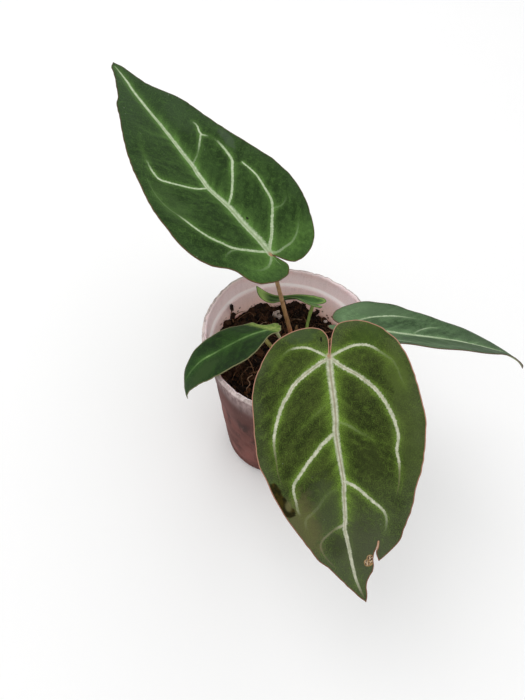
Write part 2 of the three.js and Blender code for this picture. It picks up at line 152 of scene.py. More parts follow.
# Veins of each blade: group, side, points, widths at both ends, and strengths along the vein
VEINS = {
    "leaf_rear_left": [
        ("rib", 0, [(0, 0), (9, -0.6), (18.5, -0.2), (33, -0.2), (46.5, 2.6), (51.6, 2.3), (57, 1.9),
         (62.5, 0.9), (73, 0.8), (96, 0.8), (107.5, 1.5), (127, 1.6), (134, 1), (152, 0)], (4.1, 1.0), (1, 1,
         1, 1, 1, 1, 1, 1, 0.9, 0.35)),
        ("main", -1, [(0.5, -0.5), (3.3, -3.2), (6.7, -7.5), (14.6, -15.3), (18.8, -19.3), (23.7, -22.5),
         (29.3, -23.7), (40.3, -25), (51.9, -23.4)], (1.85, 0.9), (0.8, 0.9, 0.9, 1, 1, 1, 0.9)),
        ("side", -1, [(53.5, -18.6), (54.6, -19.3), (59.7, -20.4), (70.3, -19.6), (74.8, -17.5),
         (79.3, -14.9), (85.7, -16.2), (91, -15)], (1.5, 0.8), (1, 0.95, 0.9, 0.75, 0.35, 0.2, 0.8, 0.8, 0.6,
         0)),
        ("fork", -1, [(34, -0.8), (37.3, -5.5), (45.4, -12.6), (50, -15.8), (54.6, -19.4)], (1.2, 1.5),
         (0.8, 0.8, 0.75, 0.9, 1)),
        ("fork", -1, [(64.5, -0.4), (68.5, -6), (79.5, -15.2)], (1.0, 1.1), (0.5, 0.35, 0.6, 0.85)),
        ("fork", -1, [(18.6, -19.4), (17, -24.5), (19, -29.5), (24, -33)], (1.1, 0.8), (0.35, 0.35, 0.3, 0)),
        ("main", 1, [(0.5, 0.5), (1.6, 1.8), (4.1, 6.7), (12.4, 18.8), (15.9, 21.1), (19.2, 23.6),
         (26.3, 27.3), (37.2, 31.4), (43, 33), (53, 33.5), (64, 31)], (1.6, 0.7), (0.7, 0.85, 1, 1, 0.95,
         0.85, 0.24, 0.2, 0.14, 0)),
        ("side", 1, [(47, 3), (48.2, 9.8), (56, 22.1), (58.9, 25.7), (63.7, 26.2), (70, 25), (80, 22),
         (92, 16)], (1.15, 0.9), (0.9, 0.9, 0.85, 0.9, 1, 0.6, 0.22, 0.2, 0.16, 0)),
        ("fork", -1, [(0, -0.5), (-2.1, -3.8), (-2.5, -9.1), (-2.7, -14.6), (0, -21), (6, -28), (14, -33)],
         (1.4, 0.9), (0.55, 0.5, 0.45, 0.4, 0.3, 0.2, 0)),
        ("fork", 1, [(0, 0.5), (-1.9, 1.3), (-4.7, 6.4), (-5.2, 11.9), (-3.3, 17.1), (0.5, 22)], (1.6, 1.0),
         (0.6, 0.5, 0.4, 0.35, 0.25, 0)),
        ("fork", 1, [(9.6, 15.5), (10.8, 20.8), (9.5, 26.5), (6, 30)], (1.0, 0.8), (0.4, 0.4, 0.3, 0)),
        ("fork", 1, [(84, 2), (88, 9), (93, 14), (99, 16)], (0.9, 0.7), (0.3, 0.2, 0)),
    ],
    "leaf_front": [
        ("rib", 0, [(0, 0), (5, -0.1), (21, 0.5), (29, 0.3), (33, -0.2), (55, 0.3), (58.5, -0.3), (70, -1.6),
         (73.5, -2.5), (80, -2.3), (98.6, -1.9), (109, -0.2)], (3.6, 1.0), (0.9, 1, 1, 1, 1, 1, 1, 1, 0.9,
         0.7, 0.2)),
        ("main", -1, [(1, -0.8), (3.6, -5.3), (10.7, -14.7), (13.6, -17.4), (16.9, -19.4), (19.8, -21.6),
         (33.5, -26.6), (44, -26.7), (47.5, -26.7), (53, -25.5)], (2.1, 0.9), (0.8, 1, 1, 1, 1, 1, 1, 0.95,
         0.5, 0.3, 0.2, 0)),
        ("main", 1, [(1, 0.8), (4.7, 4.6), (7.3, 7.9), (9.6, 11.3), (18.1, 19.3), (28.6, 24), (35.9, 25.3),
         (39.6, 24.9), (43.3, 23.8), (47.1, 24.1), (54.6, 23.2), (62, 21)], (2.1, 0.9), (0.7, 0.9, 0.9, 1, 1,
         1, 1, 1, 1, 0.95, 0.85, 0.35, 0.25, 0)),
        ("side", -1, [(0, -0.8), (-4.5, -9.7), (-4.7, -13.8), (-3.8, -17.8), (-1.2, -20.9), (1.5, -24),
         (5.8, -25.5), (11, -28)], (1.3, 0.7), (0.5, 0.8, 0.9, 0.7, 0.35, 0.25, 0.2, 0.2, 0)),
        ("side", 1, [(0, 0.8), (-1.1, 3), (-3.5, 10.4), (-3.6, 14.3), (-2.5, 18), (2.7, 24), (5.1, 26.6),
         (8.7, 28.4), (12.7, 29.3), (21, 32)], (1.5, 0.7), (0.6, 0.8, 0.9, 0.95, 0.75, 0.4, 0.34, 0.32, 0.32,
         0.26, 0)),
        ("fork", -1, [(33.6, -0.6), (38.4, -7.1), (41.2, -9.8), (43.9, -12.7), (49.5, -17.9), (52.5, -20.5),
         (56, -21.2), (59.6, -20.8), (63.3, -20.6), (67.5, -18.5)], (1.7, 1.0), (1, 1, 1, 1, 1, 1, 1, 0.8,
         0.55, 0.42, 0)),
        ("fork", 1, [(54.3, 1), (56.5, 4.9), (61.9, 9.9), (67.6, 14.7), (71, 15.5), (75, 14.7), (80, 12.8)],
         (1.5, 0.9), (0.9, 0.9, 1, 1, 1, 0.62, 0.45, 0.32, 0)),
        ("side", -1, [(57, -2), (57.2, -5.2), (59.3, -8.7), (62.3, -11.5), (64.8, -14.7), (67.1, -18),
         (71.4, -18.2), (77, -15.5)], (1.2, 1.2), (0.26, 0.28, 0.3, 0.32, 0.34, 0.32, 0.2, 0)),
        ("main", -1, [(72.4, -3), (73.4, -7.2), (78, -13.7), (82.3, -13.5), (91, -9)], (1.4, 1.1), (0.6, 0.3,
         0.35, 0.3, 0.25, 0.2, 0)),
        ("fork", 1, [(29, 1), (31.3, 6), (33.8, 9.1), (36, 12.5), (42, 20)], (1.3, 1.1),
         (0.35, 0.35, 0.3, 0.25, 0)),
        ("side", -1, [(20, -1), (29, -13), (32.5, -19)], (1.1, 0.9), (0.25, 0.3, 0.2, 0)),
        ("side", 1, [(5.2, 26.4), (9, 24), (13, 23.5)], (1.0, 0.8), (0.25, 0.2, 0)),
        ("fork", -1, [(13.8, -17.6), (14, -24), (16.5, -29)], (1.0, 0.8), (0.25, 0.2, 0)),
        ("side", -1, [(24, -23.6), (24.5, -29), (28, -32)], (1.0, 0.8), (0.2, 0.15, 0)),
    ],
    "leaf_right": [
        ("rib", 0, [(0, 0), (29.5, 0.7), (57, 0.1), (66, -0.3), (100, 0)], (2.8, 1.1), (1, 1, 1, 1, 1, 1, 1,
         0.7, 0.3)),
        ("main", 1, [(0.5, 0.5), (3.2, 7.2), (7.8, 12.7), (12.5, 16), (17.6, 17.9), (28, 19.2), (36, 18.6),
         (44.6, 15.3)], (1.6, 1.0), (0.3, 0.5, 0.7, 0.9, 0.75, 0.4, 0.15, 0)),
        ("main", -1, [(0.5, -0.5), (4.5, -7), (10, -13), (17, -17), (25, -18.5), (33, -18), (42, -16)],
         (1.5, 1.0), (0.7, 0.9, 0.9, 0.9, 0.7, 0.3, 0)),
        ("side", 1, [(31.5, 0.6), (34, 4.8), (38, 9), (42.8, 11.6), (49.4, 12.3)], (1.1, 0.9),
         (0.4, 0.5, 0.6, 0.5, 0)),
        ("side", -1, [(40, 0.3), (46, -5), (53, -10), (59, -12), (67, -11)], (1.1, 0.9),
         (0.35, 0.35, 0.3, 0.2, 0)),
        ("fork", 1, [(0, 0.5), (-4, 6), (-4.5, 13), (-1, 20), (6, 25)], (1.2, 0.8),
         (0.4, 0.3, 0.25, 0.15, 0)),
        ("fork", -1, [(0, -0.5), (-3, -5), (-1.5, -11), (4, -17.5), (12, -23)], (1.2, 0.8),
         (0.5, 0.45, 0.4, 0.3, 0)),
        ("fork", 1, [(62, 0.6), (67, 5), (74, 7)], (0.9, 0.7), (0.4, 0.3, 0)),
    ],
    "leaf_left": [
        ("rib", 0, [(0, 0), (8, -0.2), (26.5, 0.8), (35, 0.2), (39.5, -0.7), (44, -1), (69, 0)], (1.5, 0.6),
         (0.8, 0.75, 0.6, 0.5, 0.45, 0.75, 0.45, 0.4, 0.15, 0)),
        ("main", 1, [(0.4, 0.3), (5, 3.6), (13, 6), (24, 6.8)], (0.8, 0.6), (0.5, 0.25, 0.1, 0)),
        ("main", -1, [(0.4, -0.3), (5, -3.4), (13, -5.6), (24, -6)], (0.8, 0.6), (0.5, 0.25, 0.1, 0)),
    ],
    "leaf_inner": [
        ("rib", 0, [(0, 0), (10, 0.3), (37, 0)], (1.3, 0.5), (0.7, 0.6, 0.5, 0)),
        ("main", 1, [(0.4, 0.4), (4, 5), (10, 8.5), (18, 9)], (0.9, 0.6), (0.5, 0.35, 0.2, 0)),
        ("main", -1, [(0.4, -0.4), (4, -3.6), (10, -5.8), (18, -6)], (0.9, 0.6), (0.5, 0.3, 0.15, 0)),
    ],
}
GROUPS = ("rib", "main", "side", "fork")

# Colours are read as 0 to 255 and belong to each blade's upper face
LEAF_COLOURS = {
    "leaf_rear_left": dict(dark=(27, 45, 17), light=(51, 75, 34), glow=(106, 148, 70),
      glow_far=(94, 132, 64), vein=(192, 204, 174), vein_dull=(162, 182, 142), margin=(96, 76, 52),
      margin_far=(82, 66, 46), far=(44, 63, 36), pale_base=0.45, gloss=0.06),
    "leaf_front": dict(dark=(32, 39, 13), light=(60, 71, 29), glow=(122, 156, 58), glow_far=(92, 108, 62),
      vein=(202, 203, 181), vein_dull=(168, 173, 146), margin=(176, 130, 110), margin_far=(122, 78, 60),
      far=(74, 82, 58), pale_base=0.1, gloss=0.06),
    "leaf_right": dict(dark=(44, 66, 38), light=(84, 111, 74), glow=(110, 140, 98), glow_far=(96, 124, 84),
      vein=(184, 200, 168), vein_dull=(156, 176, 138), margin=(96, 74, 56), margin_far=(84, 64, 48),
      far=(54, 76, 48), pale_base=0.9, gloss=0.04),
    "leaf_left": dict(dark=(14, 31, 8), light=(35, 60, 20), glow=(66, 106, 40), glow_far=(54, 92, 36),
      vein=(126, 158, 96), vein_dull=(92, 126, 66), margin=(128, 126, 90), margin_far=(96, 96, 62),
      far=(36, 60, 27), yellow=6, pale_base=0, gloss=0.12),
    "leaf_inner": dict(dark=(30, 54, 20), light=(50, 80, 34), glow=(98, 138, 78), glow_far=(110, 140, 80),
      vein=(116, 146, 88), vein_dull=(104, 134, 78), margin=(90, 112, 64), margin_far=(110, 130, 76),
      far=(184, 216, 122), pale_base=0.7, gloss=0.04, tip=(0.66, 0.88)),
}
YOUNG = ("leaf_left", "leaf_inner")
PALE_YELLOW = (142, 160, 86)

# A stalk ends at the joint of the blade of its name, and the old one at its own end
STALKS = {
    "stalk_rear_left": dict(azimuth=135, reach=2.5, foot=90, radius=1.28, bow=(0, -5, 5.5),
      look="tan_stalk"),
    "stalk_front": dict(azimuth=-72, foot=90, radius=1.4, bow=(0, 4, -4), look="tan_stalk"),
    "stalk_right": dict(azimuth=-22, foot=90, radius=1.2, bow=(2, 1, -2), look="tan_stalk"),
    "stalk_left": dict(azimuth=232, foot=92, radius=0.9, look="green_stalk", pale=0.75),
    "stalk_inner": dict(azimuth=50, foot=91, radius=0.95, bow=(-0.5, 0, 0), look="green_stalk"),
    "old_stalk": dict(end=(-15, 6.5, 101.5), azimuth=205, foot=90.5, radius=1.45, bow=(0, -3.5, 0),
      look="old_stalk"),
}
STALK_COLOURS = {
    "tan_stalk": dict(base=(178, 140, 96), streak=(134, 98, 64), foot=(204, 122, 94), top=(164, 130, 92)),
    "green_stalk": dict(base=(154, 182, 92), streak=(122, 150, 70), foot=(170, 172, 108),
      top=(160, 190, 96)),
    "old_stalk": dict(base=(186, 178, 104), streak=(142, 130, 72), foot=(150, 122, 72), top=(206, 190, 130)),
}


# Numbers and curves
def linear(colour):
    """A colour of 0 to 255 as the linear values that a shader takes"""
    parts = [c / 255 for c in colour]
    return tuple(c / 12.92 if c < 0.04045 else ((c + 0.055) / 1.055) ** 2.4 for c in parts) + (1.0,)


def length_along(line):
    """The length up to each point of a line"""
    return np.concatenate([[0], np.cumsum(np.linalg.norm(np.diff(line, axis=0), axis=1))])


def smooth_run(points, count):
    """A centripetal curve through the points, cut into count equal lengths"""
    p = np.array(points, float)
    p = np.vstack([2 * p[0] - p[1], p, 2 * p[-1] - p[-2]])
    t = np.linspace(0, 1, CURVE_STEPS, endpoint=False)[:, None]
    parts = []
    for a, b, c, d in zip(p, p[1:], p[2:], p[3:]):
        before, here, after = (np.linalg.norm(v) ** 0.5 for v in (b - a, c - b, d - c))
        leave = ((b - a) / before - (c - a) / (before + here) + (c - b) / here) * here
        arrive = ((c - b) / here - (d - b) / (here + after) + (d - c) / after) * here
        cubic = (2 * (b - c) + leave + arrive) * t + (3 * (c - b) - 2 * leave - arrive)
        parts.append((cubic * t + leave) * t + b)
    dense = np.vstack(parts + [p[-2:-1]])
    run = length_along(dense)
    at = np.linspace(0, run[-1], count + 1)
    return np.stack([np.interp(at, run, dense[:, k]) for k in range(dense.shape[1])], 1)


def soft_step(low, high, value):
    """0 below low and 1 above high, smooth between them"""
    t = np.clip((value - low) / (high - low), 0, 1)
    return t * t * (3 - 2 * t)


def lattice_noise(u, v, cell, seed):
    """Smooth noise from 0 to 1 over a plane, with features about one cell wide"""
    grid = np.random.default_rng(seed).random((64, 64))
    u, v = np.asarray(u) / cell, np.asarray(v) / cell
    i, j = np.floor(u).astype(int), np.floor(v).astype(int)
    a, b = soft_step(0, 1, u - i), soft_step(0, 1, v - j)
    near = grid[i % 64, j % 64] * (1 - a) + grid[(i + 1) % 64, j % 64] * a
    far = grid[i % 64, (j + 1) % 64] * (1 - a) + grid[(i + 1) % 64, (j + 1) % 64] * a
    return near * (1 - b) + far * b


def oval(s, q, at, reach):
    """Distance from a flat place, 1 on the oval of the given half sizes, for arrays or shader values"""
    ds, dq = (s - at[0]) / reach[0], (q - at[1]) / reach[1]
    return (ds * ds + dq * dq) ** 0.5


# Meshes and pieces
def add_object(name, data):
    thing = bpy.data.objects.new(name, data)
    bpy.context.scene.collection.objects.link(thing)
    return thing


def make_piece(name, points, faces, materials, slot, node=None, which=None, fields=None, merge=False):
    """A piece on the root body, in place of a node if one is given, with vector fields stored by name"""
    mesh = bpy.data.meshes.new(name)
    mesh.from_pydata((np.asarray(points) * MM).tolist(), [], faces)
    for material in materials:
        mesh.materials.append(material)
    if which is not None:
        mesh.polygons.foreach_set("material_index", which)
    for key, values in (fields or {}).items():
        layer = mesh.attributes.new(key, "FLOAT_VECTOR", "POINT")
        layer.data.foreach_set("vector", values.ravel().astype(np.float32))
    if merge:
        work = bmesh.new()
        work.from_mesh(mesh)
        bmesh.ops.remove_doubles(work, verts=work.verts, dist=0.002 * MM)
        work.to_mesh(mesh)
        work.free()
    mesh.polygons.foreach_set("use_smooth", [True] * len(mesh.polygons))
    mesh.update()
    piece = add_object(name, mesh)
    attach(piece, "root")
    if node:
        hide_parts(node)
    return piece


def grid_faces(rows, columns, closed=False):
    """Quads over a grid of points that is stored row by row"""
    i, j = np.indices((rows - 1, columns if closed else columns - 1)).reshape(2, -1)
    here, after = i * columns + j, i * columns + (j + 1) % columns
    return np.stack([here, here + columns, after + columns, after], 1)


def angles(sides):
    return np.linspace(0, 2 * pi, sides, endpoint=False)


def ring_solid(rings, foot, top):
    """Points and faces of rings of points that are closed by fans round a foot and a top point"""
    count, sides = len(rings), len(rings[0])
    faces = grid_faces(count, sides, True)[:, ::-1].tolist()
    last = (count - 1) * sides
    for j in range(sides):
        after = (j + 1) % sides
        faces += [[last + sides, after, j], [last + sides + 1, last + j, last + after]]
    return np.vstack([*rings, foot, top]), faces


# Rows to the flap beside the tear bend at a gate between this flat place and the tear's end
GATE_FROM = (78, 15.4)
GATE_BEND = (72, 79)
TEAR_END = (81.2, 10.6)
FLAP_CORNER = 90.9
KNEE = 0.75


# Blades: the bent surface
class Blade:
    """A blade's numbers, zero where left out, and its bent surface over flat s and q"""
    hook = dip = drop = twist = sway = wave = 0
    arch = (0, 0, 1)

    def __init__(self, **numbers):
        self.__dict__.update(numbers)
        step = self.length / RIB_STEPS
        ahead = self.axes((np.arange(RIB_STEPS + RIB_BEYOND) + 0.5) * step)[0] * step
        behind = self.axes(-(np.arange(RIB_BEFORE) + 0.5) * step)[0] * step
        self.line = np.vstack([-np.cumsum(behind, 0)[::-1], np.zeros((1, 3)), np.cumsum(ahead, 0)]) + self.at
        self.places = np.arange(-RIB_BEFORE, RIB_STEPS + RIB_BEYOND + 1) * step
        self.folds = [radians(getattr(self, key, self.fold)) for key in ("right_fold", "fold")]
        self.bends = [radians(getattr(self, key, self.curl)) / self.half for key in ("right_curl", "curl")]

    def axes(self, s):
        """Unit vectors along the midrib, to its left and up from it"""
        x = s / self.length
        heading = np.radians(self.heading + self.turn * x + self.hook * x ** 4)
        pitch = np.radians(self.pitch + self.droop * x + self.dip * x * np.abs(x) + self.drop * x ** 6)
        roll = np.radians(self.roll + self.twist * x + self.sway * x * x)
        ahead, across = np.cos(heading), np.sin(heading)
        along = np.stack([ahead * np.cos(pitch), across * np.cos(pitch), np.sin(pitch)], -1)
        level = np.stack([-across, ahead, 0 * heading], -1)
        side = level * np.cos(roll)[..., None] + np.cross(along, level) * np.sin(roll)[..., None]
        return along, side, np.cross(along, side)

    def surface(self, s, q):
        """Points in space for flat s and q"""
        rib = np.stack([np.interp(s, self.places, self.line[:, k]) for k in range(3)], -1)
        arch, arch_at, arch_reach = self.arch
        rib[..., 2] += arch * np.exp(-((s - arch_at) / arch_reach) ** 2)
        _, side, up = self.axes(s)
        reach, fold, bend = np.abs(q), np.where(q < 0, *self.folds), np.where(q < 0, *self.bends)
        across = np.sign(q) * (np.sin(fold + bend * reach) - np.sin(fold)) / bend
        ripple = np.sin(2 * pi * self.waves * s / self.length + np.sign(q)) * (reach / self.half) ** 2
        lift = (np.cos(fold) - np.cos(fold + bend * reach)) / bend + self.wave * ripple
        return rib + side * across[..., None] + up * lift[..., None]

    def normal(self, s, q, step=0.4):
        along = self.surface(s + step, q) - self.surface(s - step, q)
        normal = np.cross(along, self.surface(s, q + step) - self.surface(s, q - step))
        return normal / np.linalg.norm(normal, axis=-1, keepdims=True)


blades = {name: Blade(**numbers) for name, numbers in BLADES.items()}


def edge_points(runs, columns):
    """Points along the runs of an edge, and the number of the run that each point is on"""
    lengths = [length_along(smooth_run(run, 20))[-1] for run in runs]
    shares = [max(2, round(columns * length / sum(lengths))) for length in lengths]
    shares[0] += columns - sum(shares)
    parts = [smooth_run(run, share)[min(i, 1):] for i, (run, share) in enumerate(zip(runs, shares))]
    return np.vstack(parts), np.repeat(range(len(parts)), [len(part) for part in parts])


def knee_points(straight, edge, run):
    """Where each row bends, so that the rows to a torn flap go round the end of the tear"""
    s = edge[:, 0]
    outer = (s - GATE_BEND[1]) / (FLAP_CORNER - GATE_BEND[1]) / 2
    inner = 0.5 + (FLAP_CORNER - s) / (FLAP_CORNER - TEAR_END[0]) / 2
    order = np.clip(np.where(run == 0, outer, inner), 0, 1)[:, None]
    gate = np.array(GATE_FROM) * (1 - order) + np.array(TEAR_END) * order
    weight = np.where(run == 0, soft_step(*GATE_BEND, s), run == 1)[:, None]
    return straight * (1 - weight) + gate * weight


def uneven_edge(edge, seed):
    """Small waves in and out along an edge, none at its ends"""
    run = np.linspace(0, length_along(edge)[-1], len(edge))
    wave = lattice_noise(run, 0 * run, 7.5, seed) - 0.5
    wave += 0.5 * (lattice_noise(run, 0 * run + 5, 2.6, seed + 1) - 0.5)
    wave *= EDGE_WAVE * soft_step(0, 14, run) * soft_step(0, 5, run[-1] - run)
    along = np.gradient(edge, axis=0)
    along /= np.linalg.norm(along, axis=1, keepdims=True) + 1e-9
    return edge + wave[:, None] * along[:, ::-1] * (-1, 1)


def blade_grid(blade):
    """Flat coordinates of rows from the right edge over the midrib to the left edge, and both edges"""
    along = (np.arange(blade.columns + 1) / blade.columns) ** RIB_SWEEP
    tip_s, tip_q = blade.left[-1][-1]
    rib = np.stack([tip_s * along, tip_q * np.clip((along - 0.7) / 0.3, 0, 1) ** 2], 1)
    share = (np.arange(blade.rows + 1) / blade.rows)[None, :, None]
    inner = np.clip(share / KNEE, 0, 1)
    outer = np.clip((share - KNEE) / (1 - KNEE), 0, 1)
    halves, edges = [], []
    for sign, runs in ((-1, blade.right), (1, blade.left)):
        plain, run = edge_points(runs, blade.columns)
        edge = uneven_edge(plain, 50 + blade.columns + sign)
        if len(runs) > 1:
            from_tear = np.linalg.norm(plain - TEAR_END, axis=1)
            edge = plain + (edge - plain) * soft_step(6, 12, from_tear)[:, None]
        edge = edge * (1, sign)
        knee = rib + KNEE * (edge - rib)
        if len(runs) > 1:
            knee = knee_points(knee, edge, run)
        halves.append(rib[:, None] + (knee - rib)[:, None] * inner + (edge - knee)[:, None] * outer)
        edges.append(edge)
    flat = np.hstack([halves[0][:, :0:-1], halves[1]])
    return flat[..., 0], flat[..., 1], edges


# Blades: veins and margin as fields over the flat blade
def nearest_on_line(s, q, line):
    """Signed distance to a line of points, the length along it of the nearest point, and its length"""
    best = np.full(len(s), 1e6)
    signed, place = best.copy(), 0 * best
    run = 0.0
    for (s0, q0), (s1, q1) in zip(line[:-1], line[1:]):
        length = max(hypot(s1 - s0, q1 - q0), 1e-6)
        us, uq = (s1 - s0) / length, (q1 - q0) / length
        ds, dq = s - s0, q - q0
        t = np.clip(ds * us + dq * uq, 0, length)
        gap = np.hypot(ds - t * us, dq - t * uq)
        near = gap < best
        best[near] = gap[near]
        signed[near] = (np.where(us * dq - uq * ds < 0, -1, 1) * gap)[near]
        place[near] = (run + t)[near]
        run += length
    return signed, place, run


def vein_fields(name, s, q, is_left):
    """For each group the distance from its vein in half widths and its strength, and the glow and relief"""
    fields = {group: np.stack([0 * s + FAR, 0 * s, 0 * s], 1) for group in GROUPS}
    glow, relief = 0 * s, 0 * s
    for group, side, points, widths, strengths in VEINS[name]:
        line = smooth_run(points, 6 * len(points))
        (low_s, low_q), (high_s, high_q) = line.min(0) - FAR, line.max(0) + FAR
        inside = (s > low_s) & (s < high_s) & (q > low_q) & (q < high_q)
        pick = np.nonzero(inside & (is_left == (side > 0)) if side else inside)[0]
        signed, place, length = nearest_on_line(s[pick], q[pick], line)
        half = np.interp(place / length, [0, 1], widths) / 2
        strength = np.interp(place / length, np.linspace(0, 1, len(strengths)), strengths)
        strength *= np.clip((length - place) / 0.8, 0, 1)
        ratio = signed / half
        reach, power = (1.5 * half + 1.5, 0.95) if group == "rib" else (1.1 * half + 1.1, 0.75)
        shine = strength ** 0.8 * np.exp(-(signed / reach) ** 2)
        glow[pick] = 1 - (1 - glow[pick]) * (1 - power * shine)
        relief[pick] = np.maximum(relief[pick], strength * half * np.exp(-ratio ** 2))
        strength = strength * np.clip((5 - np.abs(ratio)) / 2, 0, 1)
        nearer = np.abs(ratio) < np.abs(fields[group][pick, 0])
        fields[group][pick[nearer], :2] = np.stack([np.clip(ratio, -FAR, FAR), strength], 1)[nearer]
    return fields, glow, relief


# Marks on the front leaf: a brown spot by the tear, and a film of water with a drop in it
SPOTS = [((89.4, 5.9), (2.3, 1.5)), ((90.6, 4.5), (1.6, 1.5))]
DROP = ((60.9, -24.3), (2.3, 1.6))
FILM_LINE, FILM_REACH = [(53.4, -29.2), (56, -28.4), (59, -27), (61.6, -25.2), (63.6, -24)], 2.0


def front_marks(s, q):
    """The spot, film and drop of the front leaf as fields from 0 to 1"""
    spot = soft_step(1.35, 0.75, np.minimum(*(oval(s, q, *place) for place in SPOTS)))
    ragged = 0.9 * (lattice_noise(s, q, 1.6, 12) - 0.5)
    from_line = np.abs(nearest_on_line(s, q, smooth_run(FILM_LINE, 16))[0])
    film = soft_step(FILM_REACH + 0.35, FILM_REACH - 0.15, from_line + ragged)
    return np.stack([spot, film, soft_step(1.1, 0.5, oval(s, q, *DROP))], 1)


def build_blade(name):
    blade = blades[name]
    s, q, edges = blade_grid(blade)
    shape, rows = s.shape, blade.rows
    is_left = np.broadcast_to(np.arange(shape[1]) >= rows, shape).ravel()
    s, q = s.ravel(), q.ravel()
    veins, glow, relief = vein_fields(name, s, q, is_left)
    margin = np.clip(np.minimum(*(np.abs(nearest_on_line(s, q, edge)[0]) for edge in edges)), 0, FAR)
    marks = front_marks(s, q) if name == "leaf_front" else np.zeros((len(s), 3))

    # The halves meet along the first and last rows, so they share their values
    def closed(values):
        grid = values.reshape(shape).copy()
        for row in (0, -1):
            grid[row, rows + 1:] = grid[row, rows - 1::-1]
        return grid.ravel()

    size = blade.half / 40
    uneven = lattice_noise(s + 200, q + 200, 9, 5) - 0.5
    puff = closed(soft_step(0, 5 * size, margin) * PUFF * size * (1 - glow + uneven))
    relief = closed(relief)
    lift = closed(marks @ MARK_LIFTS)
    thick = EDGE_THICK + (BLADE_THICK - EDGE_THICK) * soft_step(0, 1.6, closed(margin))
    normal = blade.normal(s, q)
    middle = blade.surface(s, q) + normal * puff[:, None]
    top = middle + normal * (thick / 2 - TOP_RELIEF * relief + lift)[:, None]
    bottom = middle - normal * (thick / 2 + UNDER_RELIEF * relief)[:, None]

    count, width = len(s), shape[1]
    faces = grid_faces(*shape)
    rims = []
    for a in range(0, count - width, width):
        b = a + width
        rims += [[b, a, a + count, b + count], [b - 1, b + width - 1, b + width - 1 + count, b - 1 + count]]
    which = [0] * len(faces) + [1] * len(faces) + [0] * len(rims)
    fields = {"flat": np.stack([s, q, 0 * s], 1), "tone": np.stack([glow, margin, relief], 1), "marks": marks}
    fields.update(("vein_" + group, field) for group, field in veins.items())
    make_piece(name + "_blade", np.vstack([top, bottom]),
               faces.tolist() + (faces[:, ::-1] + count).tolist() + rims,
               [leaf_top_material(name), leaf_under_material(name)],
               "young_leaf" if name in YOUNG else "mature_leaf", name, which,
               {key: np.tile(values, (2, 1)) for key, values in fields.items()}, merge=True)


# Patches of a blade, worn ones and two of painted shade and sheen, and dark specks: flat place, half sizes,
# and for a patch its colour and share
TINTS = {
    # On the front blade the dark olive patch at (80, -6) is a painted shadow beside the lower side vein
    "leaf_front": [((70, -19), (15, 8), (98, 94, 60), 0.6), ((32, 30), (30, 7), (84, 98, 52), 0.4),
      ((-8, 18), (7, 9), (56, 78, 28), 0.5), ((84, 3), (15, 12), (72, 76, 56), 0.55), ((62, -9), (12, 7),
      (66, 74, 50), 0.5), ((80, -6), (5, 5), (52, 58, 36), 0.5), ((46, 12.6), (9, 6), (46, 54, 24), 0.5),
      ((-11, -12), (6, 8), (60, 78, 48), 0.5), ((10, 28), (12, 6), (84, 102, 42), 0.42)],
    "leaf_left": [((44, 5), (12, 4), (50, 72, 34), 0.7), ((10, -4), (8, 3), (30, 52, 18), 0.4)],
    # On the rear left blade the greyish patch at (96, -12) toward the tip is a painted grey sheen
    "leaf_rear_left": [((69.4, -25.5), (8.5, 3.2), (78, 92, 74), 0.45), ((44.5, 30), (14, 7), (84, 112, 62),
      0.25), ((96, -12), (16, 7), (70, 88, 62), 0.2), ((54, -8), (10, 5), (40, 62, 28), 0.35)],
    "leaf_right": [((12, 22), (22, 8), (92, 115, 83), 0.6), ((60, -8), (40, 8), (54, 76, 46), 0.7)],
}
SPECKS = {"leaf_front": ((-8.4, -3.4), (1.6, 0.55)), "leaf_rear_left": ((21.9, -3.8), (1.0, 0.7))}
VEIN_LINE = {"leaf_front": (142, 124, 104), "leaf_rear_left": (140, 156, 116), "leaf_right": (124, 146, 108)}


# Node materials
class Value:
    """A number, vector or colour in a material's graph, with signs for the maths on it"""

    def __init__(self, graph, socket):
        self.graph = graph
        self.socket = socket

    def maths(operation):
        """A method that puts one operation on this value and another"""
        return lambda a, b=0.0: a.graph.node("Math", {0: a, 1: b}, operation=operation)

    __add__, __sub__, __mul__ = map(maths, ("ADD", "SUBTRACT", "MULTIPLY"))
    __truediv__, __pow__, __abs__ = map(maths, ("DIVIDE", "POWER", "ABSOLUTE"))
    sign, most = map(maths, ("SIGN", "MAXIMUM"))

    def ramp(self, low, high, start=0.0, end=1.0):
        """A smooth step from start, where this is low, to end"""
        inputs = {0: self, 1: low, 2: high, 3: start, 4: end}
        return self.graph.node("MapRange", inputs, interpolation_type="SMOOTHSTEP")


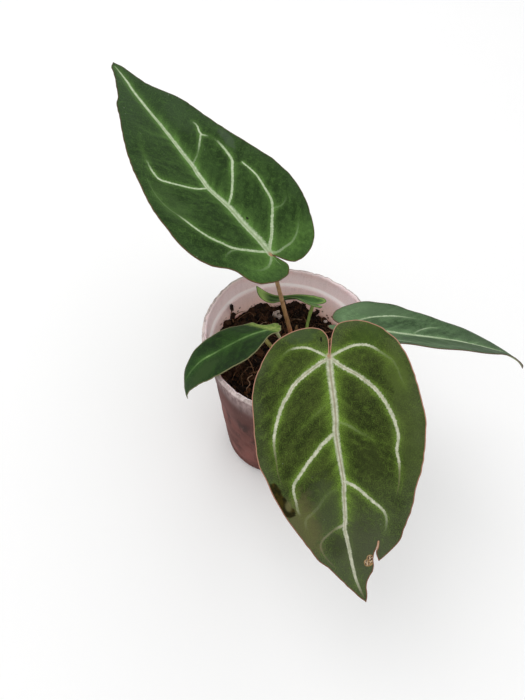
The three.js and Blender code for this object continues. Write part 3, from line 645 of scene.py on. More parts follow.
class Graph:
    """The nodes of one material, whose colour is painted in layers"""

    def __init__(self, name):
        self.material = bpy.data.materials.new(name)
        self.material.use_nodes = True
        self.tree = self.material.node_tree

    def put(self, socket, value):
        if isinstance(value, Value):
            self.tree.links.new(value.socket, socket)
        else:
            socket.default_value = value

    def node(self, kind, inputs, output=0, **settings):
        """The value that a new node gives"""
        node = self.tree.nodes.new("ShaderNode" + kind)
        for key, value in settings.items():
            setattr(node, key, value)
        for key, value in inputs.items():
            self.put(node.inputs[key], value)
        return Value(self, node.outputs[output])

    def split(self, vector):
        """The three numbers of a vector"""
        first = self.node("SeparateXYZ", {0: vector})
        return [Value(self, socket) for socket in first.socket.node.outputs]

    def field(self, name):
        return self.node("Attribute", {}, "Vector", attribute_name=name)

    def place(self, *scale):
        """The place on the piece in metres, times the scale"""
        place = self.node("TexCoord", {}, "Object")
        return self.node("VectorMath", {0: place, 1: scale}, operation="MULTIPLY") if scale else place

    def noise(self, vector, scale, detail=2.0, rough=0.5):
        inputs = {"Vector": vector, "Scale": scale, "Detail": detail, "Roughness": rough}
        return self.node("TexNoise", inputs)

    def cells(self, vector, scale, feature="F1"):
        return self.node("TexVoronoi", {"Vector": vector, "Scale": scale}, "Distance", feature=feature)

    def mix(self, factor, a, b):
        a, b = (linear(colour) if isinstance(colour, tuple) else colour for colour in (a, b))
        return self.node("Mix", {0: factor, 6: a, 7: b}, 2, data_type="RGBA")

    def start(self, factor, a, b):
        """The lowest layer of the colour, a blend of two"""
        self.colour = self.mix(factor, a, b)

    def paint(self, factor, colour):
        """The next layer of the colour, seen where the factor is above 0"""
        self.colour = self.mix(factor, self.colour, colour)

    def finish(self, rough, height=None, depth=0.1, **numbers):
        """The material, with relief of the given depth in millimetres if it has a height"""
        inputs = self.tree.nodes["Principled BSDF"].inputs
        if height is not None:
            numbers["Normal"] = self.node("Bump", {"Height": height, "Distance": depth * MM, "Strength": 1.0})
        numbers.update({"Base Color": self.colour, "Roughness": rough})
        for key, value in numbers.items():
            self.put(inputs[key.replace("_", " ")], value)
        return self.material


def vein_mask(g, group, grain):
    """Where a vein's pale core lies, with a ragged edge; a faint vein has no core"""
    ratio, strength, _ = g.split(g.field("vein_" + group))
    ratio = abs(ratio)
    return (ratio + grain).ramp(1.3, 0.5) * strength.ramp(0.22, 0.9), ratio, strength


def panel_streaks(g, s, q):
    """Feathery streaks that run outward and forward from the midrib on both sides"""
    side = abs(q)
    inputs = {0: (s + side) * 0.05, 1: (side * 0.9 - s) * 0.22, 2: q.sign()}
    return g.noise(g.node("CombineXYZ", inputs), 1, 3, 0.55)


def paint_veins(g, name, flat, s, mottle):
    """Pale frayed cores, with a greyer line along the strongest; the mask of all of them is given back"""
    look, length = LEAF_COLOURS[name], blades[name].length
    ragged = (g.noise(flat, 0.95) - 0.5) * 1.6 + (g.noise(flat, 2.4) - 0.5)
    masks, lines = [], []
    for group in GROUPS:
        mask, ratio, strength = vein_mask(g, group, ragged * (0.5 if group == "rib" else 0.95))
        if group in ("rib", "main") and name not in YOUNG:
            full, none, share = (0.5, 0.95, 0.62) if group == "rib" else (0.06, 0.3, 0.5)
            line = ratio.ramp(0.4, 0.12) * strength * s.ramp(none * length, full * length, 0, share)
            mask = mask - mask * line
            lines.insert(0, ratio.ramp(0.8, 0.3) * strength * 0.9)
        masks.append(mask)
    for line in lines:
        g.paint(line, VEIN_LINE[name])
    total = reduce(Value.most, masks)
    g.paint(total, g.mix(mottle.ramp(0.35, 0.65), look["vein"], look["vein_dull"]))
    return total


def paint_front_marks(g, flat, mottle):
    """The front leaf's spot, film of water and drop; the film is given back"""
    spot, film, drop = g.split(g.field("marks"))
    spot_edge = spot + (g.noise(flat, 0.7, 3) - 0.5) * spot.ramp(0, 0.2) * 1.8
    scab = g.mix(g.noise(flat, 1.3, 3, 0.7).ramp(0.46, 0.56), (62, 40, 26), (190, 168, 138))
    scab = g.mix(spot_edge.ramp(0.95, 0.65), scab, (162, 128, 84))
    g.paint(spot_edge.ramp(0.35, 0.5), scab)
    g.paint(film * 0.96, g.mix(mottle.ramp(0.4, 0.65), (26, 24, 3), (56, 46, 8)))
    g.paint(drop * 0.75, (104, 102, 66))
    return film


def leaf_top_material(name):
    look, length, size = LEAF_COLOURS[name], blades[name].length, blades[name].half / 40
    is_front = name == "leaf_front"
    g = Graph(name + "_upper")
    flat = g.field("flat")
    s, q, _ = g.split(flat)
    glow, margin, _ = g.split(g.field("tone"))
    broad = g.noise(flat, 0.06, 3)
    mottle = g.noise(flat, 0.38, 4, 0.6)
    grain = g.noise(flat, 2.2, 3, 0.6)
    streaks = panel_streaks(g, s, q)

    # Lamina: two greens in patches and streaks, greyer to the tip and margin, where the grey is partly the
    # leaf's own tone and partly a painted sheen, brighter by the veins
    g.start((broad * 0.35 + mottle * 0.25 + streaks * 0.4).ramp(0.4, 0.6), look["dark"], look["light"])
    tip = (share * length for share in look.get("tip", (0.4, 0.75)))
    g.paint(s.ramp(*tip) * broad.ramp(0.3, 0.6, 0.45, 0.9), look["far"])
    g.paint(s.ramp(10, -4, 0, look["pale_base"]) * mottle.ramp(0.3, 0.7, 0.5, 1), look["glow"])
    g.paint(margin.ramp(9 * size, size) * broad.ramp(0.35, 0.65, 0.15, 0.6), look["far"])
    shine = g.mix(s.ramp(0.5 * length, 0.8 * length), look["glow"], look["glow_far"])
    g.paint(glow * streaks.ramp(0.35, 0.65, 0.55, 1) * grain.ramp(0.35, 0.62, 0.72, 1.12), shine)

    # A faint net of small veins, the velvet's grain, a few pale motes and tinted patches, worn ones with a
    # painted shadow and a painted sheen among them
    net = g.cells(flat, 0.33, "DISTANCE_TO_EDGE")
    g.paint(net.ramp(0.09, 0) * mottle.ramp(0.4, 0.65, 0.02, 0.16), look["glow"])
    g.paint(grain.ramp(0.45, 0.7, 0, 0.2), look["glow"])
    g.paint(grain.ramp(0.55, 0.32, 0, 0.42), look["dark"])
    g.paint(g.cells(flat, 0.16).ramp(0.06, 0.03) * broad.ramp(0.5, 0.6, 0, 0.45), (176, 186, 168))
    # Tinted patches: worn ones, one painted shadow and one painted sheen
    for at, reach, tint, share in TINTS.get(name, []):
        patchy = oval(s, q, at, reach) + (mottle - 0.5) * 1.4
        g.paint(patchy.ramp(1.2, 0.5, 0, share), tint)
    total = paint_veins(g, name, flat, s, mottle)

    # The left blade is yellow-green at its base, and the grown ones are pinkish right at the joint
    if "yellow" in look:
        uneven = s + (mottle - 0.5) * 7.0 + q * 0.72
        pale = g.mix(mottle.ramp(0.38, 0.6), (88, 120, 44), PALE_YELLOW)
        g.paint(uneven.ramp(look["yellow"], 0.4 * look["yellow"]), pale)
    elif name not in YOUNG:
        g.paint(abs(s + 0.4).ramp(2.2, 0.6, 0, 0.6) * abs(q).ramp(1.5, 0.4), (160, 124, 102))

    # Marks and margin
    rough = mottle.ramp(0.3, 0.7, 0.46, 0.6)
    if is_front:
        rough = rough - paint_front_marks(g, flat, mottle) * 0.38
    if name in SPECKS:
        g.paint(oval(s, q, *SPECKS[name]).ramp(1, 0.7, 0, 0.9), (22, 20, 14))
    rim = g.mix(s.ramp(0.4 * length, 0.8 * length), look["margin"], look["margin_far"])
    g.paint(margin.ramp(0.54, 0.26), rim)
    if is_front:
        torn = oval(s, q, TEAR_END, (5.5, 2.6)).ramp(1.1, 0.6) * margin.ramp(0.45, 0.12)
        g.paint(torn, (190, 150, 120))
    height = net.ramp(0, 0.12) * 0.35 + grain * 0.5 - total * 0.5
    return g.finish(rough, height, Specular_IOR_Level=look["gloss"])


def leaf_under_material(name):
    look = LEAF_COLOURS[name]
    g = Graph(name + "_lower")
    flat = g.field("flat")
    margin = g.split(g.field("tone"))[1]
    mottle = g.noise(flat, 0.25, 4, 0.6)
    grain = g.noise(flat, 1.8, 3, 0.6)
    net = g.cells(flat, 0.33, "DISTANCE_TO_EDGE")
    pale = 0.15 if name in YOUNG else 0.43
    dark, light = (tuple(round(c + pale * (d - c)) for c, d in zip(look[key], grey))
                   for key, grey in (("dark", (128, 142, 100)), ("light", (150, 162, 120))))
    g.start(mottle.ramp(0.35, 0.65), dark, light)
    g.paint(net.ramp(0.08, 0) * 0.35, (150, 166, 118))
    ragged = (grain - 0.5) * 0.8
    g.paint(reduce(Value.most, [vein_mask(g, group, ragged)[0] for group in GROUPS]), (172, 176, 132))
    g.paint(margin.ramp(0.62, 0.3), look["margin"])
    height = grain + net.ramp(0.1, 0) * 0.6
    return g.finish(mottle.ramp(0.3, 0.7, 0.5, 0.62), height, Specular_IOR_Level=0.3)


# Stalks: bent tubes, thick at the foot and with a swollen joint under the blade
def stalk_line(name):
    stalk, blade = STALKS[name], blades.get(name.replace("stalk", "leaf"))
    azimuth = radians(stalk["azimuth"])
    out = np.array([cos(azimuth), sin(azimuth), 0])
    crown = np.array([*CROWN_AT, stalk["foot"]])
    leave = crown + stalk.get("reach", LEAVE_REACH) * out + (0, 0, LEAVE_RISE)
    if blade:
        joint = np.zeros(1)
        end = (blade.surface(joint, joint) - blade.normal(joint, joint) * (BLADE_THICK / 2 - 0.1))[0]
    else:
        end = np.array(stalk["end"])
    middle = (leave + end) / 2 + stalk.get("bow", 0)
    return smooth_run([crown + 1.5 * out, leave, middle, end], STALK_STEPS)


def tube(line, radii, sides, seed=1, rough=0.0):
    """Points and faces of a closed tube along a line"""
    tangent = np.gradient(line, axis=0)
    tangent /= np.linalg.norm(tangent, axis=1, keepdims=True)
    first = np.cross(tangent[0], (0.31, 0.52, 0.79))
    turn = angles(sides)
    rings = []
    for at, along, radius, run in zip(line, tangent, radii, length_along(line)):
        first = first - along * np.dot(first, along)
        first /= np.linalg.norm(first)
        bumps = 1 + rough * (lattice_noise(turn * 2 + 9, np.full(sides, run), 1.5, seed) - 0.5)
        second = np.cross(along, first)
        across = np.outer(np.cos(turn) * bumps, first) + np.outer(np.sin(turn) * bumps, second)
        rings.append(at + radius * across)
    return ring_solid(rings, line[0], line[-1])


def build_stalk(name):
    stalk, line = STALKS[name], stalk_line(name)
    run = length_along(line)
    share = np.linspace(0, 1, len(line))
    from_end = (1 - share) * run[-1]
    radii = stalk["radius"] * (1 + 0.6 * np.exp(-(share * run[-1] / 6) ** 2) - 0.15 * share)
    if "end" in stalk:
        radii *= 1 - 0.12 * soft_step(3, 0, from_end)
    else:
        radii *= 1 + 0.28 * soft_step(8, 4, from_end)
        radii[-3:] *= (0.97, 0.9, 0.75)
    points, faces = tube(line, radii, STALK_SIDES, seed=len(name), rough=0.12)
    share = np.append(np.repeat(run / run[-1], STALK_SIDES), [0, 1])
    make_piece(name + "_tube", points, faces, [stalk_material(name)], stalk["look"], name,
               fields={"share": np.stack([share] * 3, 1)})


def stalk_material(name):
    look = STALK_COLOURS[STALKS[name]["look"]]
    g = Graph(name + "_skin")
    share = g.split(g.field("share"))[0]
    streaks = g.noise(g.place(900, 900, 120), 1, 3, 0.6)
    flecks = g.noise(g.place(), 1600, 2, 0.6)
    blotch = g.noise(g.place(), 160)
    g.start(streaks.ramp(0.35, 0.68), look["base"], look["streak"])
    g.paint(blotch.ramp(0.45, 0.75, 0, 0.5), look["streak"])
    g.paint(share.ramp(0.36, 0.16), look["foot"])
    g.paint(share.ramp(0.86, 1, 0, 0.8), look["top"])
    g.paint(share.ramp(0.3, 0.9, 0, STALKS[name].get("pale", 0)), (232, 234, 188))
    g.paint(flecks.ramp(0.62, 0.72, 0, 0.5), (176, 152, 118))
    return g.finish(blotch.ramp(0.3, 0.7, 0.42, 0.55), streaks + flecks * 0.5, 0.12, Specular_IOR_Level=0.4)


# Cup
def inner_radius(z):
    return BASE_RADIUS - WALL + (LEDGE_RADIUS - 1.4 - BASE_RADIUS) * z / LEDGE_HEIGHT


def round_corners(profile, reach):
    """Each corner of a profile becomes a short arc"""
    points = [np.array(profile[0], float)]
    for a, b, c in zip(profile, profile[1:], profile[2:]):
        a, b, c = (np.array(p, float) for p in (a, b, c))
        enter, leave = (b + (p - b) * min(reach / np.linalg.norm(p - b), 0.4) for p in (a, c))
        for t in (0.0, 0.25, 0.5, 0.75, 1.0):
            points.append((1 - t) ** 2 * enter + 2 * t * (1 - t) * b + t * t * leave)
    return points + [np.array(profile[-1], float)]


def cup_profile():
    """Points from the middle of the base up the outside, over the lip and down the inside"""
    wall_top = LEDGE_HEIGHT - 1.8
    outside = [(0, 0), (BASE_RADIUS - 2.4, 0), (BASE_RADIUS - 0.9, 0.5), (inner_radius(2.2) + WALL, 2.2),
               (inner_radius(wall_top) + WALL, wall_top), (LEDGE_RADIUS, LEDGE_HEIGHT),
               (RIM_RADIUS - 1.7, CUP_HEIGHT - 3.2), (RIM_RADIUS, CUP_HEIGHT - 2.9),
               (RIM_RADIUS, CUP_HEIGHT - 0.9), (RIM_RADIUS - 0.7, CUP_HEIGHT)]
    inside = [(RIM_RADIUS - 1.9, CUP_HEIGHT), (RIM_RADIUS - 2.5, CUP_HEIGHT - 0.9),
              (LEDGE_RADIUS - WALL, LEDGE_HEIGHT + 0.5), (inner_radius(wall_top) - 0.1, wall_top + 0.6),
              (inner_radius(2.6), 2.6), (BASE_RADIUS - 2.9, WALL), (0, WALL)]
    rounded = round_corners(outside + inside, CORNER_REACH)
    fine = [rounded[0]]
    for a, b in zip(rounded, rounded[1:]):
        pieces = max(1, ceil(np.linalg.norm(b - a) / PROFILE_STEP))
        fine += [a + (b - a) * (k + 1) / pieces for k in range(pieces)]
    return np.array(fine)


def build_cup():
    profile = cup_profile()
    lip = int(np.argmax(profile[:, 1] + 0.01 * (RIM_RADIUS - profile[:, 0])))
    r, z = profile[1:-1, :1], profile[1:-1, 1:]
    high = z / CUP_HEIGHT
    turn = angles(CUP_SIDES)
    wave = 0.6 * np.sin(3 * turn + 0.7) + 0.5 * np.sin(5 * turn + 2.1) + 0.4 * np.sin(11 * turn)
    dent = lattice_noise(turn[None, :] * 22 + 40, z, 9, 31) - 0.5
    middle = soft_step(0, 0.1, high) * soft_step(1.0, 0.85, high)
    r = r + RIM_WAVE * high ** 3 * wave * soft_step(20, 30, r) + 0.5 * dent * middle
    around = turn * RIM_RADIUS + 60
    patchy = lattice_noise(around, 0 * turn, 2.2, 33) + 0.6 * lattice_noise(around, 0 * turn, 0.9, 34) - 0.8
    wear = LIP_WEAR * patchy * soft_step(CUP_HEIGHT - 2, CUP_HEIGHT, z)
    r = r + wear
    rings = np.stack([r * np.cos(turn), r * np.sin(turn), z - np.abs(wear)], -1)
    points, faces = ring_solid(rings, (0, 0, 0), (0, 0, WALL))
    is_inside = np.repeat(np.arange(len(rings) - 1) >= lip - 1, CUP_SIDES)
    which = is_inside.astype(int).tolist() + [0, 1] * CUP_SIDES
    materials = [cup_material("frosted_outside", paint_outside), cup_material("frosted_inside", paint_inside)]
    drill_drains(make_piece("frosted_cup", points, faces, materials, "frosted_plastic", "cup", which))


def drill_drains(cup):
    """Round holes through the base"""
    work = bmesh.new()
    for angle in angles(DRAIN_COUNT):
        at = Vector((DRAIN_CIRCLE * cos(angle), DRAIN_CIRCLE * sin(angle), 0)) * MM
        bmesh.ops.create_cone(work, cap_ends=True, segments=32, radius1=DRAIN_RADIUS * MM,
                              radius2=DRAIN_RADIUS * MM, depth=6 * WALL * MM, matrix=Matrix.Translation(at))
    mesh = bpy.data.meshes.new("drill")
    work.to_mesh(mesh)
    work.free()
    drill = add_object("drill", mesh)
    cut = cup.modifiers.new("drains", "BOOLEAN")
    cut.operation = "DIFFERENCE"
    cut.solver = "EXACT"
    cut.object = drill
    bpy.context.view_layer.update()
    drilled = bpy.data.meshes.new_from_object(cup.evaluated_get(bpy.context.evaluated_depsgraph_get()))
    cup.modifiers.clear()
    cup.data = drilled
    bpy.data.objects.remove(drill)


def cup_material(name, paint):
    """Frosted plastic, with one side's own layers of colour and numbers"""
    g = Graph(name)
    place = g.place()
    height = g.split(place)[2] * 1000.0
    streaks = g.noise(g.place(420, 420, 38), 1, 4, 0.6)
    frost = g.noise(place, 1500, 2, 0.6)
    rough, numbers = paint(g, height, g.noise(place, 45, 3), streaks, g.cells(place, 260), frost)
    return g.finish(rough, frost * 0.3 + streaks, **numbers)


def paint_inside(g, height, broad, streaks, specks, frost):
    g.start(height.ramp(92, 112), (238, 207, 201), (237, 214, 216))
    g.paint(streaks.ramp(0.45, 0.8, 0, 0.2), (190, 162, 157))
    g.paint(frost.ramp(0.5, 0.7, 0, 0.25), (172, 146, 150))
    # A painted highlight along the ring of the inside ledge
    g.paint(height.ramp(105.4, 106.4) * height.ramp(107.8, 106.9) * 0.7, (244, 234, 234))
    low = height + (broad - 0.5) * 14.0
    g.paint(low.ramp(103, 94) * specks.ramp(0.26, 0.12), (70, 46, 34))
    g.paint(low.ramp(93, 88), (84, 58, 46))
    return frost.ramp(0.3, 0.7, 0.4, 0.55), dict(
        Specular_IOR_Level=0.2, Subsurface_Weight=0.7, Subsurface_Radius=(1.0, 0.85, 0.8),
        Subsurface_Scale=0.005)


def paint_outside(g, height, broad, streaks, specks, frost):
    """The mix shows through the wall, and the band over it is paler; a painted highlight runs along the lip,
    with a painted shade line under its roll
    """
    scratch = g.noise(g.place(900, 900, 60), 1)
    soft = g.noise(g.place(130, 130, 60), 1, 3, 0.55)
    spot = specks.ramp(0.2, 0.1) * broad.ramp(0.5, 0.65)
    band = g.mix(streaks.ramp(0.36, 0.66), (162, 141, 139), (112, 91, 89))
    band = g.mix(scratch.ramp(0.55, 0.72, 0, 0.4), band, (168, 150, 147))
    band = g.mix(spot, band, (40, 28, 26))
    g.start(broad.ramp(0.35, 0.65), (90, 53, 47), (124, 77, 70))
    g.paint(height.ramp(50, 92, 0, 0.7), (82, 55, 52))
    g.paint(soft.ramp(0.5, 0.7) * height.ramp(20, 80, 0.3, 0.72), (42, 27, 25))
    g.paint(scratch.ramp(0.6, 0.75, 0, 0.2), (138, 112, 106))
    g.paint(spot, (30, 20, 18))
    g.paint((height + (streaks - 0.5) * 12).ramp(87, 103), band)
    # A painted highlight along the top of the lip
    g.paint(height.ramp(114.4, 115.6) * streaks.ramp(0.6, 0.4, 0.45, 0.8), (226, 211, 207))
    # A painted shade line under the rolled lip
    g.paint(height.ramp(111.4, 112.4) * height.ramp(113.6, 113) * 0.6, (84, 66, 62))
    return 0.6, dict(Specular_IOR_Level=0.05)


# Potting mix: its uneven top is worked out from the same chips as the CAD solid
def seeded_draws(state):
    while True:
        state = (state * 16807) % 2147483647
        yield state / 2147483647


def make_chips():
    draws = seeded_draws(CHIP_SEED)
    for _ in range(CHIP_COUNT):
        r = CHIP_CIRCLE * sqrt(next(draws))
        angle = 2 * pi * next(draws)
        size = 1.8 + 3.6 * next(draws) ** 2
        long, turn, lift = 1 + 0.8 * next(draws), pi * next(draws), 0.4 + 2.4 * next(draws)
        slope = (next(draws) - 0.5, next(draws) - 0.5)
        yield r * cos(angle), r * sin(angle), size, long, turn, lift, slope


CHIPS = list(make_chips())

# Heaps and dips, broad ones and others against the wall: x, y, height and reach
HEAPS = [(-16, 22, 2.2, 20.494), (14, -24, -1.5, 22.361), (-40, 3, 5, 6), (-39, 11, 4.4, 5.5),
    (-36, 19, 5.4, 4.5), (-20, 34, 3.6, 6), (2, 40, 4.6, 7), (-10, 37, -2.2, 4), (-29, 28, -1.2, 3.5),
    (24, 32, -1.0, 5), (-26, -6, 1.2, 7)]


def mix_height(x, y):
    """Heaps, chips and crumbs added up at each place"""
    height, top = 0 * x, 0 * x
    for hx, hy, rise, reach in HEAPS:
        height = height + rise * np.exp(-((x - hx) ** 2 + (y - hy) ** 2) / reach ** 2)
    for cx, cy, size, long, turn, lift, slope in CHIPS:
        dx, dy = x - cx, y - cy
        u = dx * cos(turn) + dy * sin(turn)
        v = dy * cos(turn) - dx * sin(turn)
        near = (u / (size * long)) ** 2 + (v / size) ** 2
        flat = lift + 0.5 * (slope[0] * dx + slope[1] * dy)
        top = np.maximum(top, flat * soft_step(1.05, 0.75, near))
    for rise, cell, seed in ((1.9, 3.1, 3), (1.5, 1.5, 4), (0.9, 0.8, 6)):
        height = height + rise * lattice_noise(x + 90, y + 90, cell, seed)
    return MIX_LEVEL - MIX_DROP + height + 0.75 * top


def height_at(x, y):
    return mix_height(np.array([x]), np.array([y]))[0]


def build_mix():
    turn = angles(MIX_SIDES)
    x, y = np.cos(turn), np.sin(turn)
    floor, mix_radius = WALL + GAP, inner_radius(MIX_LEVEL)
    low = [(BASE_RADIUS - 4, floor)] + [(inner_radius(z) - 0.4, z) for z in (5, 45, MIX_LEVEL - 3)]
    rings = [np.stack([radius * x, radius * y, 0 * x + z], 1) for radius, z in low]
    for k in range(MIX_RINGS, 0, -1):
        radius = (mix_radius - 0.3) * k / MIX_RINGS
        z = mix_height(radius * x, radius * y)
        spread = radius * inner_radius(z) / mix_radius
        rings.append(np.stack([x * spread, y * spread, z], 1))
    points, faces = ring_solid(rings, (0, 0, floor), (0, 0, height_at(0.0, 0.0)))
    make_piece("bark_mix", points, faces, [mix_material("bark_mix_body", False)], "bark_mix", "potting_mix")


def mix_material(name, has_tone=True):
    g = Graph(name)
    place = g.place()
    fine = g.noise(place, 900, 4, 0.65)
    crumbs = g.cells(place, 420)
    g.start(g.noise(place, 150, 4, 0.6).ramp(0.4, 0.62), (16, 9, 6), (64, 41, 26))
    g.paint(fine.ramp(0.54, 0.68, 0, 0.85), (122, 82, 52))
    g.paint(crumbs.ramp(0.2, 0.05, 0, 0.7), (9, 6, 4))
    if has_tone:
        tone = g.split(g.field("chip"))[0]
        warm = g.mix(tone.ramp(0.3, 0.8), (22, 14, 9), (92, 60, 40))
        g.paint(0.62, g.mix(tone.ramp(0.93, 0.99), warm, (138, 90, 54)))
    return g.finish(fine.ramp(0.3, 0.7, 0.7, 0.92), fine + crumbs * 0.8, 0.6, Specular_IOR_Level=0.25)


# Loose chips, fibres and pale grains on the mix
CUBE_SIDES = [(0, 1, 3, 2), (4, 6, 7, 5), (0, 4, 5, 1), (2, 3, 7, 6), (0, 2, 6, 4), (1, 5, 7, 3)]


def lump(rng, size, cuts, rough):
    """A rough block: a cube with each face cut into squares, rounded and roughened"""
    index, points, faces = {}, [], []
    for corners in CUBE_SIDES:
        a, b, c, d = (np.array([(k >> 2 & 1), (k >> 1 & 1), k & 1]) * 2.0 - 1 for k in corners)
        at = {}
        for i, j in np.ndindex(cuts + 1, cuts + 1):
            u, v = i / cuts, j / cuts
            p = (a * (1 - u) + d * u) * (1 - v) + (b * (1 - u) + c * u) * v
            key = tuple(np.round(p, 4))
            if key not in index:
                index[key] = len(points)
                ball = p / np.linalg.norm(p)
                points.append((0.55 * p + 0.45 * ball) * (1 + rough * (rng.random() - 0.5)))
            at[i, j] = index[key]
        for i, j in np.ndindex(cuts, cuts):
            faces.append([at[i, j], at[i, j + 1], at[i + 1, j + 1], at[i + 1, j]])
    return np.array(points) * size, faces


def turned(rng, points, tilt):
    """The points after a random turn about z and a tilt of up to tilt radians"""
    axis = Vector((rng.normal(), rng.normal(), 0)).normalized()
    tilted = Matrix.Rotation(rng.uniform(-tilt, tilt), 3, axis)
    return points @ np.array(tilted @ Matrix.Rotation(rng.uniform(0, ONE_TURN), 3, "Z")).T


def random_spot(rng, reach):
    """A random place on a disc: how far out it is, x and y"""
    r, angle = reach * sqrt(rng.random()), rng.uniform(0, ONE_TURN)
    return r, r * cos(angle), r * sin(angle)


def join_parts(name, parts, material):
    """One piece from many small meshes, each with a tone of its own"""
    faces, tones, count = [], [], 0
    for points, part_faces, tone in parts:
        faces += [[a + count for a in face] for face in part_faces]
        tones += [tone] * len(points)
        count += len(points)
    field = {"chip": np.stack([tones] * 3, 1)}
    make_piece(name, np.vstack([part[0] for part in parts]), faces, [material], "bark_mix", fields=field)


def clear_of_crown(x, y):
    return hypot(x - CROWN_AT[0], y - CROWN_AT[1]) > CROWN_RADIUS + 1


def build_loose_bark():
    rng = np.random.default_rng(17)
    parts = []
    while len(parts) < BARK_COUNT:
        r, x, y = random_spot(rng, BARK_CIRCLE)
        size = 0.5 + 1.5 * rng.random() ** 2.2
        shape = size * np.array([rng.uniform(1, 1.9), rng.uniform(0.7, 1.2), rng.uniform(0.25, 0.6)])
        tilt, tone = rng.uniform(0.2, 0.9), rng.random()
        points, faces = lump(rng, shape, 3, 0.35)
        points = turned(rng, points, tilt)
        if r + size * 1.9 < BARK_REACH and clear_of_crown(x, y):
            parts.append((points + (x, y, height_at(x, y) + 0.15 * size), faces, tone))
    join_parts("loose_bark", parts, mix_material("bark_chip"))


# Bits that stand out of the mix: place, half sizes, tilt and tone
STANDING = [((-34.8, 20.2, 106.4), (1.0, 0.9, 2.9), 0.2, 0.02), ((-33.8, 19.6, 99.6), (0.9, 1.3, 2.2), 0.4,
    0.05), ((-36.4, 15, 98), (2.2, 1.6, 1.9), 0.5, 0.6), ((-37.2, 9, 96.5), (2.4, 1.5, 1.7), 0.5, 0.4),
    ((-34.2, 12, 96.5), (2.0, 1.4, 1.5), 0.5, 0.85), ((-5.5, 37.2, 95.5), (1.2, 1.0, 2.2), 0.4, 0.1),
    ((0, 37.5, 94.5), (3.4, 1.3, 2.2), 0.4, 0.3), ((14, 35, 93.2), (2.6, 1.2, 2.0), 0.5, 0.35),
    ((-20, 33, 94.2), (2.8, 1.6, 1.8), 0.4, 0.25), ((6.5, 38, 93.8), (1.2, 1.0, 2.8), 0.4, 0.2),
    ((-16.1, 2, 92.2), (3.6, 2.2, 1.3), 0.4, 0.95), ((-33, 14, 92), (3.2, 2.0, 1.2), 0.5, 0.96),
    ((-28, 8, 91.5), (2.4, 2.0, 1.0), 0.5, 0.92), ((-24, 20, 93), (2.8, 1.8, 1.4), 0.5, 0.5)]


def build_standing_bits():
    rng = np.random.default_rng(23)
    parts = []
    for at, size, tilt, tone in STANDING:
        points, faces = lump(rng, np.array(size), 5, 0.42)
        parts.append((turned(rng, points, tilt) + at, faces, tone))
    join_parts("standing_bark", parts, mix_material("standing_bark_skin"))


def build_fibres():
    rng = np.random.default_rng(29)
    parts = []
    steps = np.arange(9) / 8
    while len(parts) < FIBRE_COUNT:
        _, x, y = random_spot(rng, FIBRE_CIRCLE)
        heading = rng.uniform(0, ONE_TURN)
        length, bend, arch = rng.uniform(4, 15), rng.normal(0, 0.12), rng.uniform(0.2, 2.2)
        heads = heading + bend * length * (steps - 0.5)
        px = x + np.cumsum(np.cos(heads)) * length / 9
        py = y + np.cumsum(np.sin(heads)) * length / 9
        radius, tone = rng.uniform(0.09, 0.2), rng.random()
        if np.hypot(px, py).max() > FIBRE_REACH:
            continue
        level = np.convolve(np.pad(mix_height(px, py), 2, mode="edge"), np.ones(5) / 5, "valid")
        path = np.stack([px, py, level + arch * np.sin(pi * steps) + 0.1], 1)
        parts.append((*tube(path, np.full(9, radius), 5), tone))
    join_parts("coco_fibres", parts, fibre_material("fibre_skin"))


# Frayed bits that stick up along the back of the mix
def build_tufts():
    rng = np.random.default_rng(41)
    lumps, strands = [], []
    steps = np.linspace(0, 1, 8)
    while len(lumps) < TUFT_COUNT or len(strands) < TUFT_COUNT:
        angle, r = radians(rng.uniform(35, 205)), rng.uniform(27, 39.3)
        x, y = r * cos(angle), r * sin(angle)
        z = height_at(x, y)
        size = rng.uniform(0.6, 1.7)
        if len(lumps) < TUFT_COUNT and r + 1.6 * size < CRUMB_REACH:
            shape = size * np.array([rng.uniform(0.8, 1.5), rng.uniform(0.5, 1), rng.uniform(0.5, 1.1)])
            points, faces = lump(rng, shape, 3, 0.6)
            lumps.append((turned(rng, points, 1.2) + (x, y, z + 0.5 * size), faces, 0.75 * rng.random()))
        if len(strands) < TUFT_COUNT:
            heading, climb = rng.uniform(0, ONE_TURN), rng.uniform(0.15, 1.1)
            length, turn = rng.uniform(2.5, 8), rng.normal(0, 0.9)
            level, heads = length * steps * cos(climb), heading + turn * steps
            rise = length * sin(climb) * np.sin(1.9 * steps) / 0.95
            path = np.stack([x + level * np.cos(heads), y + level * np.sin(heads), z - 0.3 + rise], 1)
            if np.hypot(path[:, 0], path[:, 1]).max() < STRAND_REACH:
                points, faces = tube(path, rng.uniform(0.12, 0.3) * (1 - 0.6 * steps), 5)
                strands.append((points, faces, rng.random() * 0.8))
    join_parts("mix_crumbs", lumps, mix_material("crumb_skin"))
    join_parts("mix_strands", strands, fibre_material("strand_skin"))


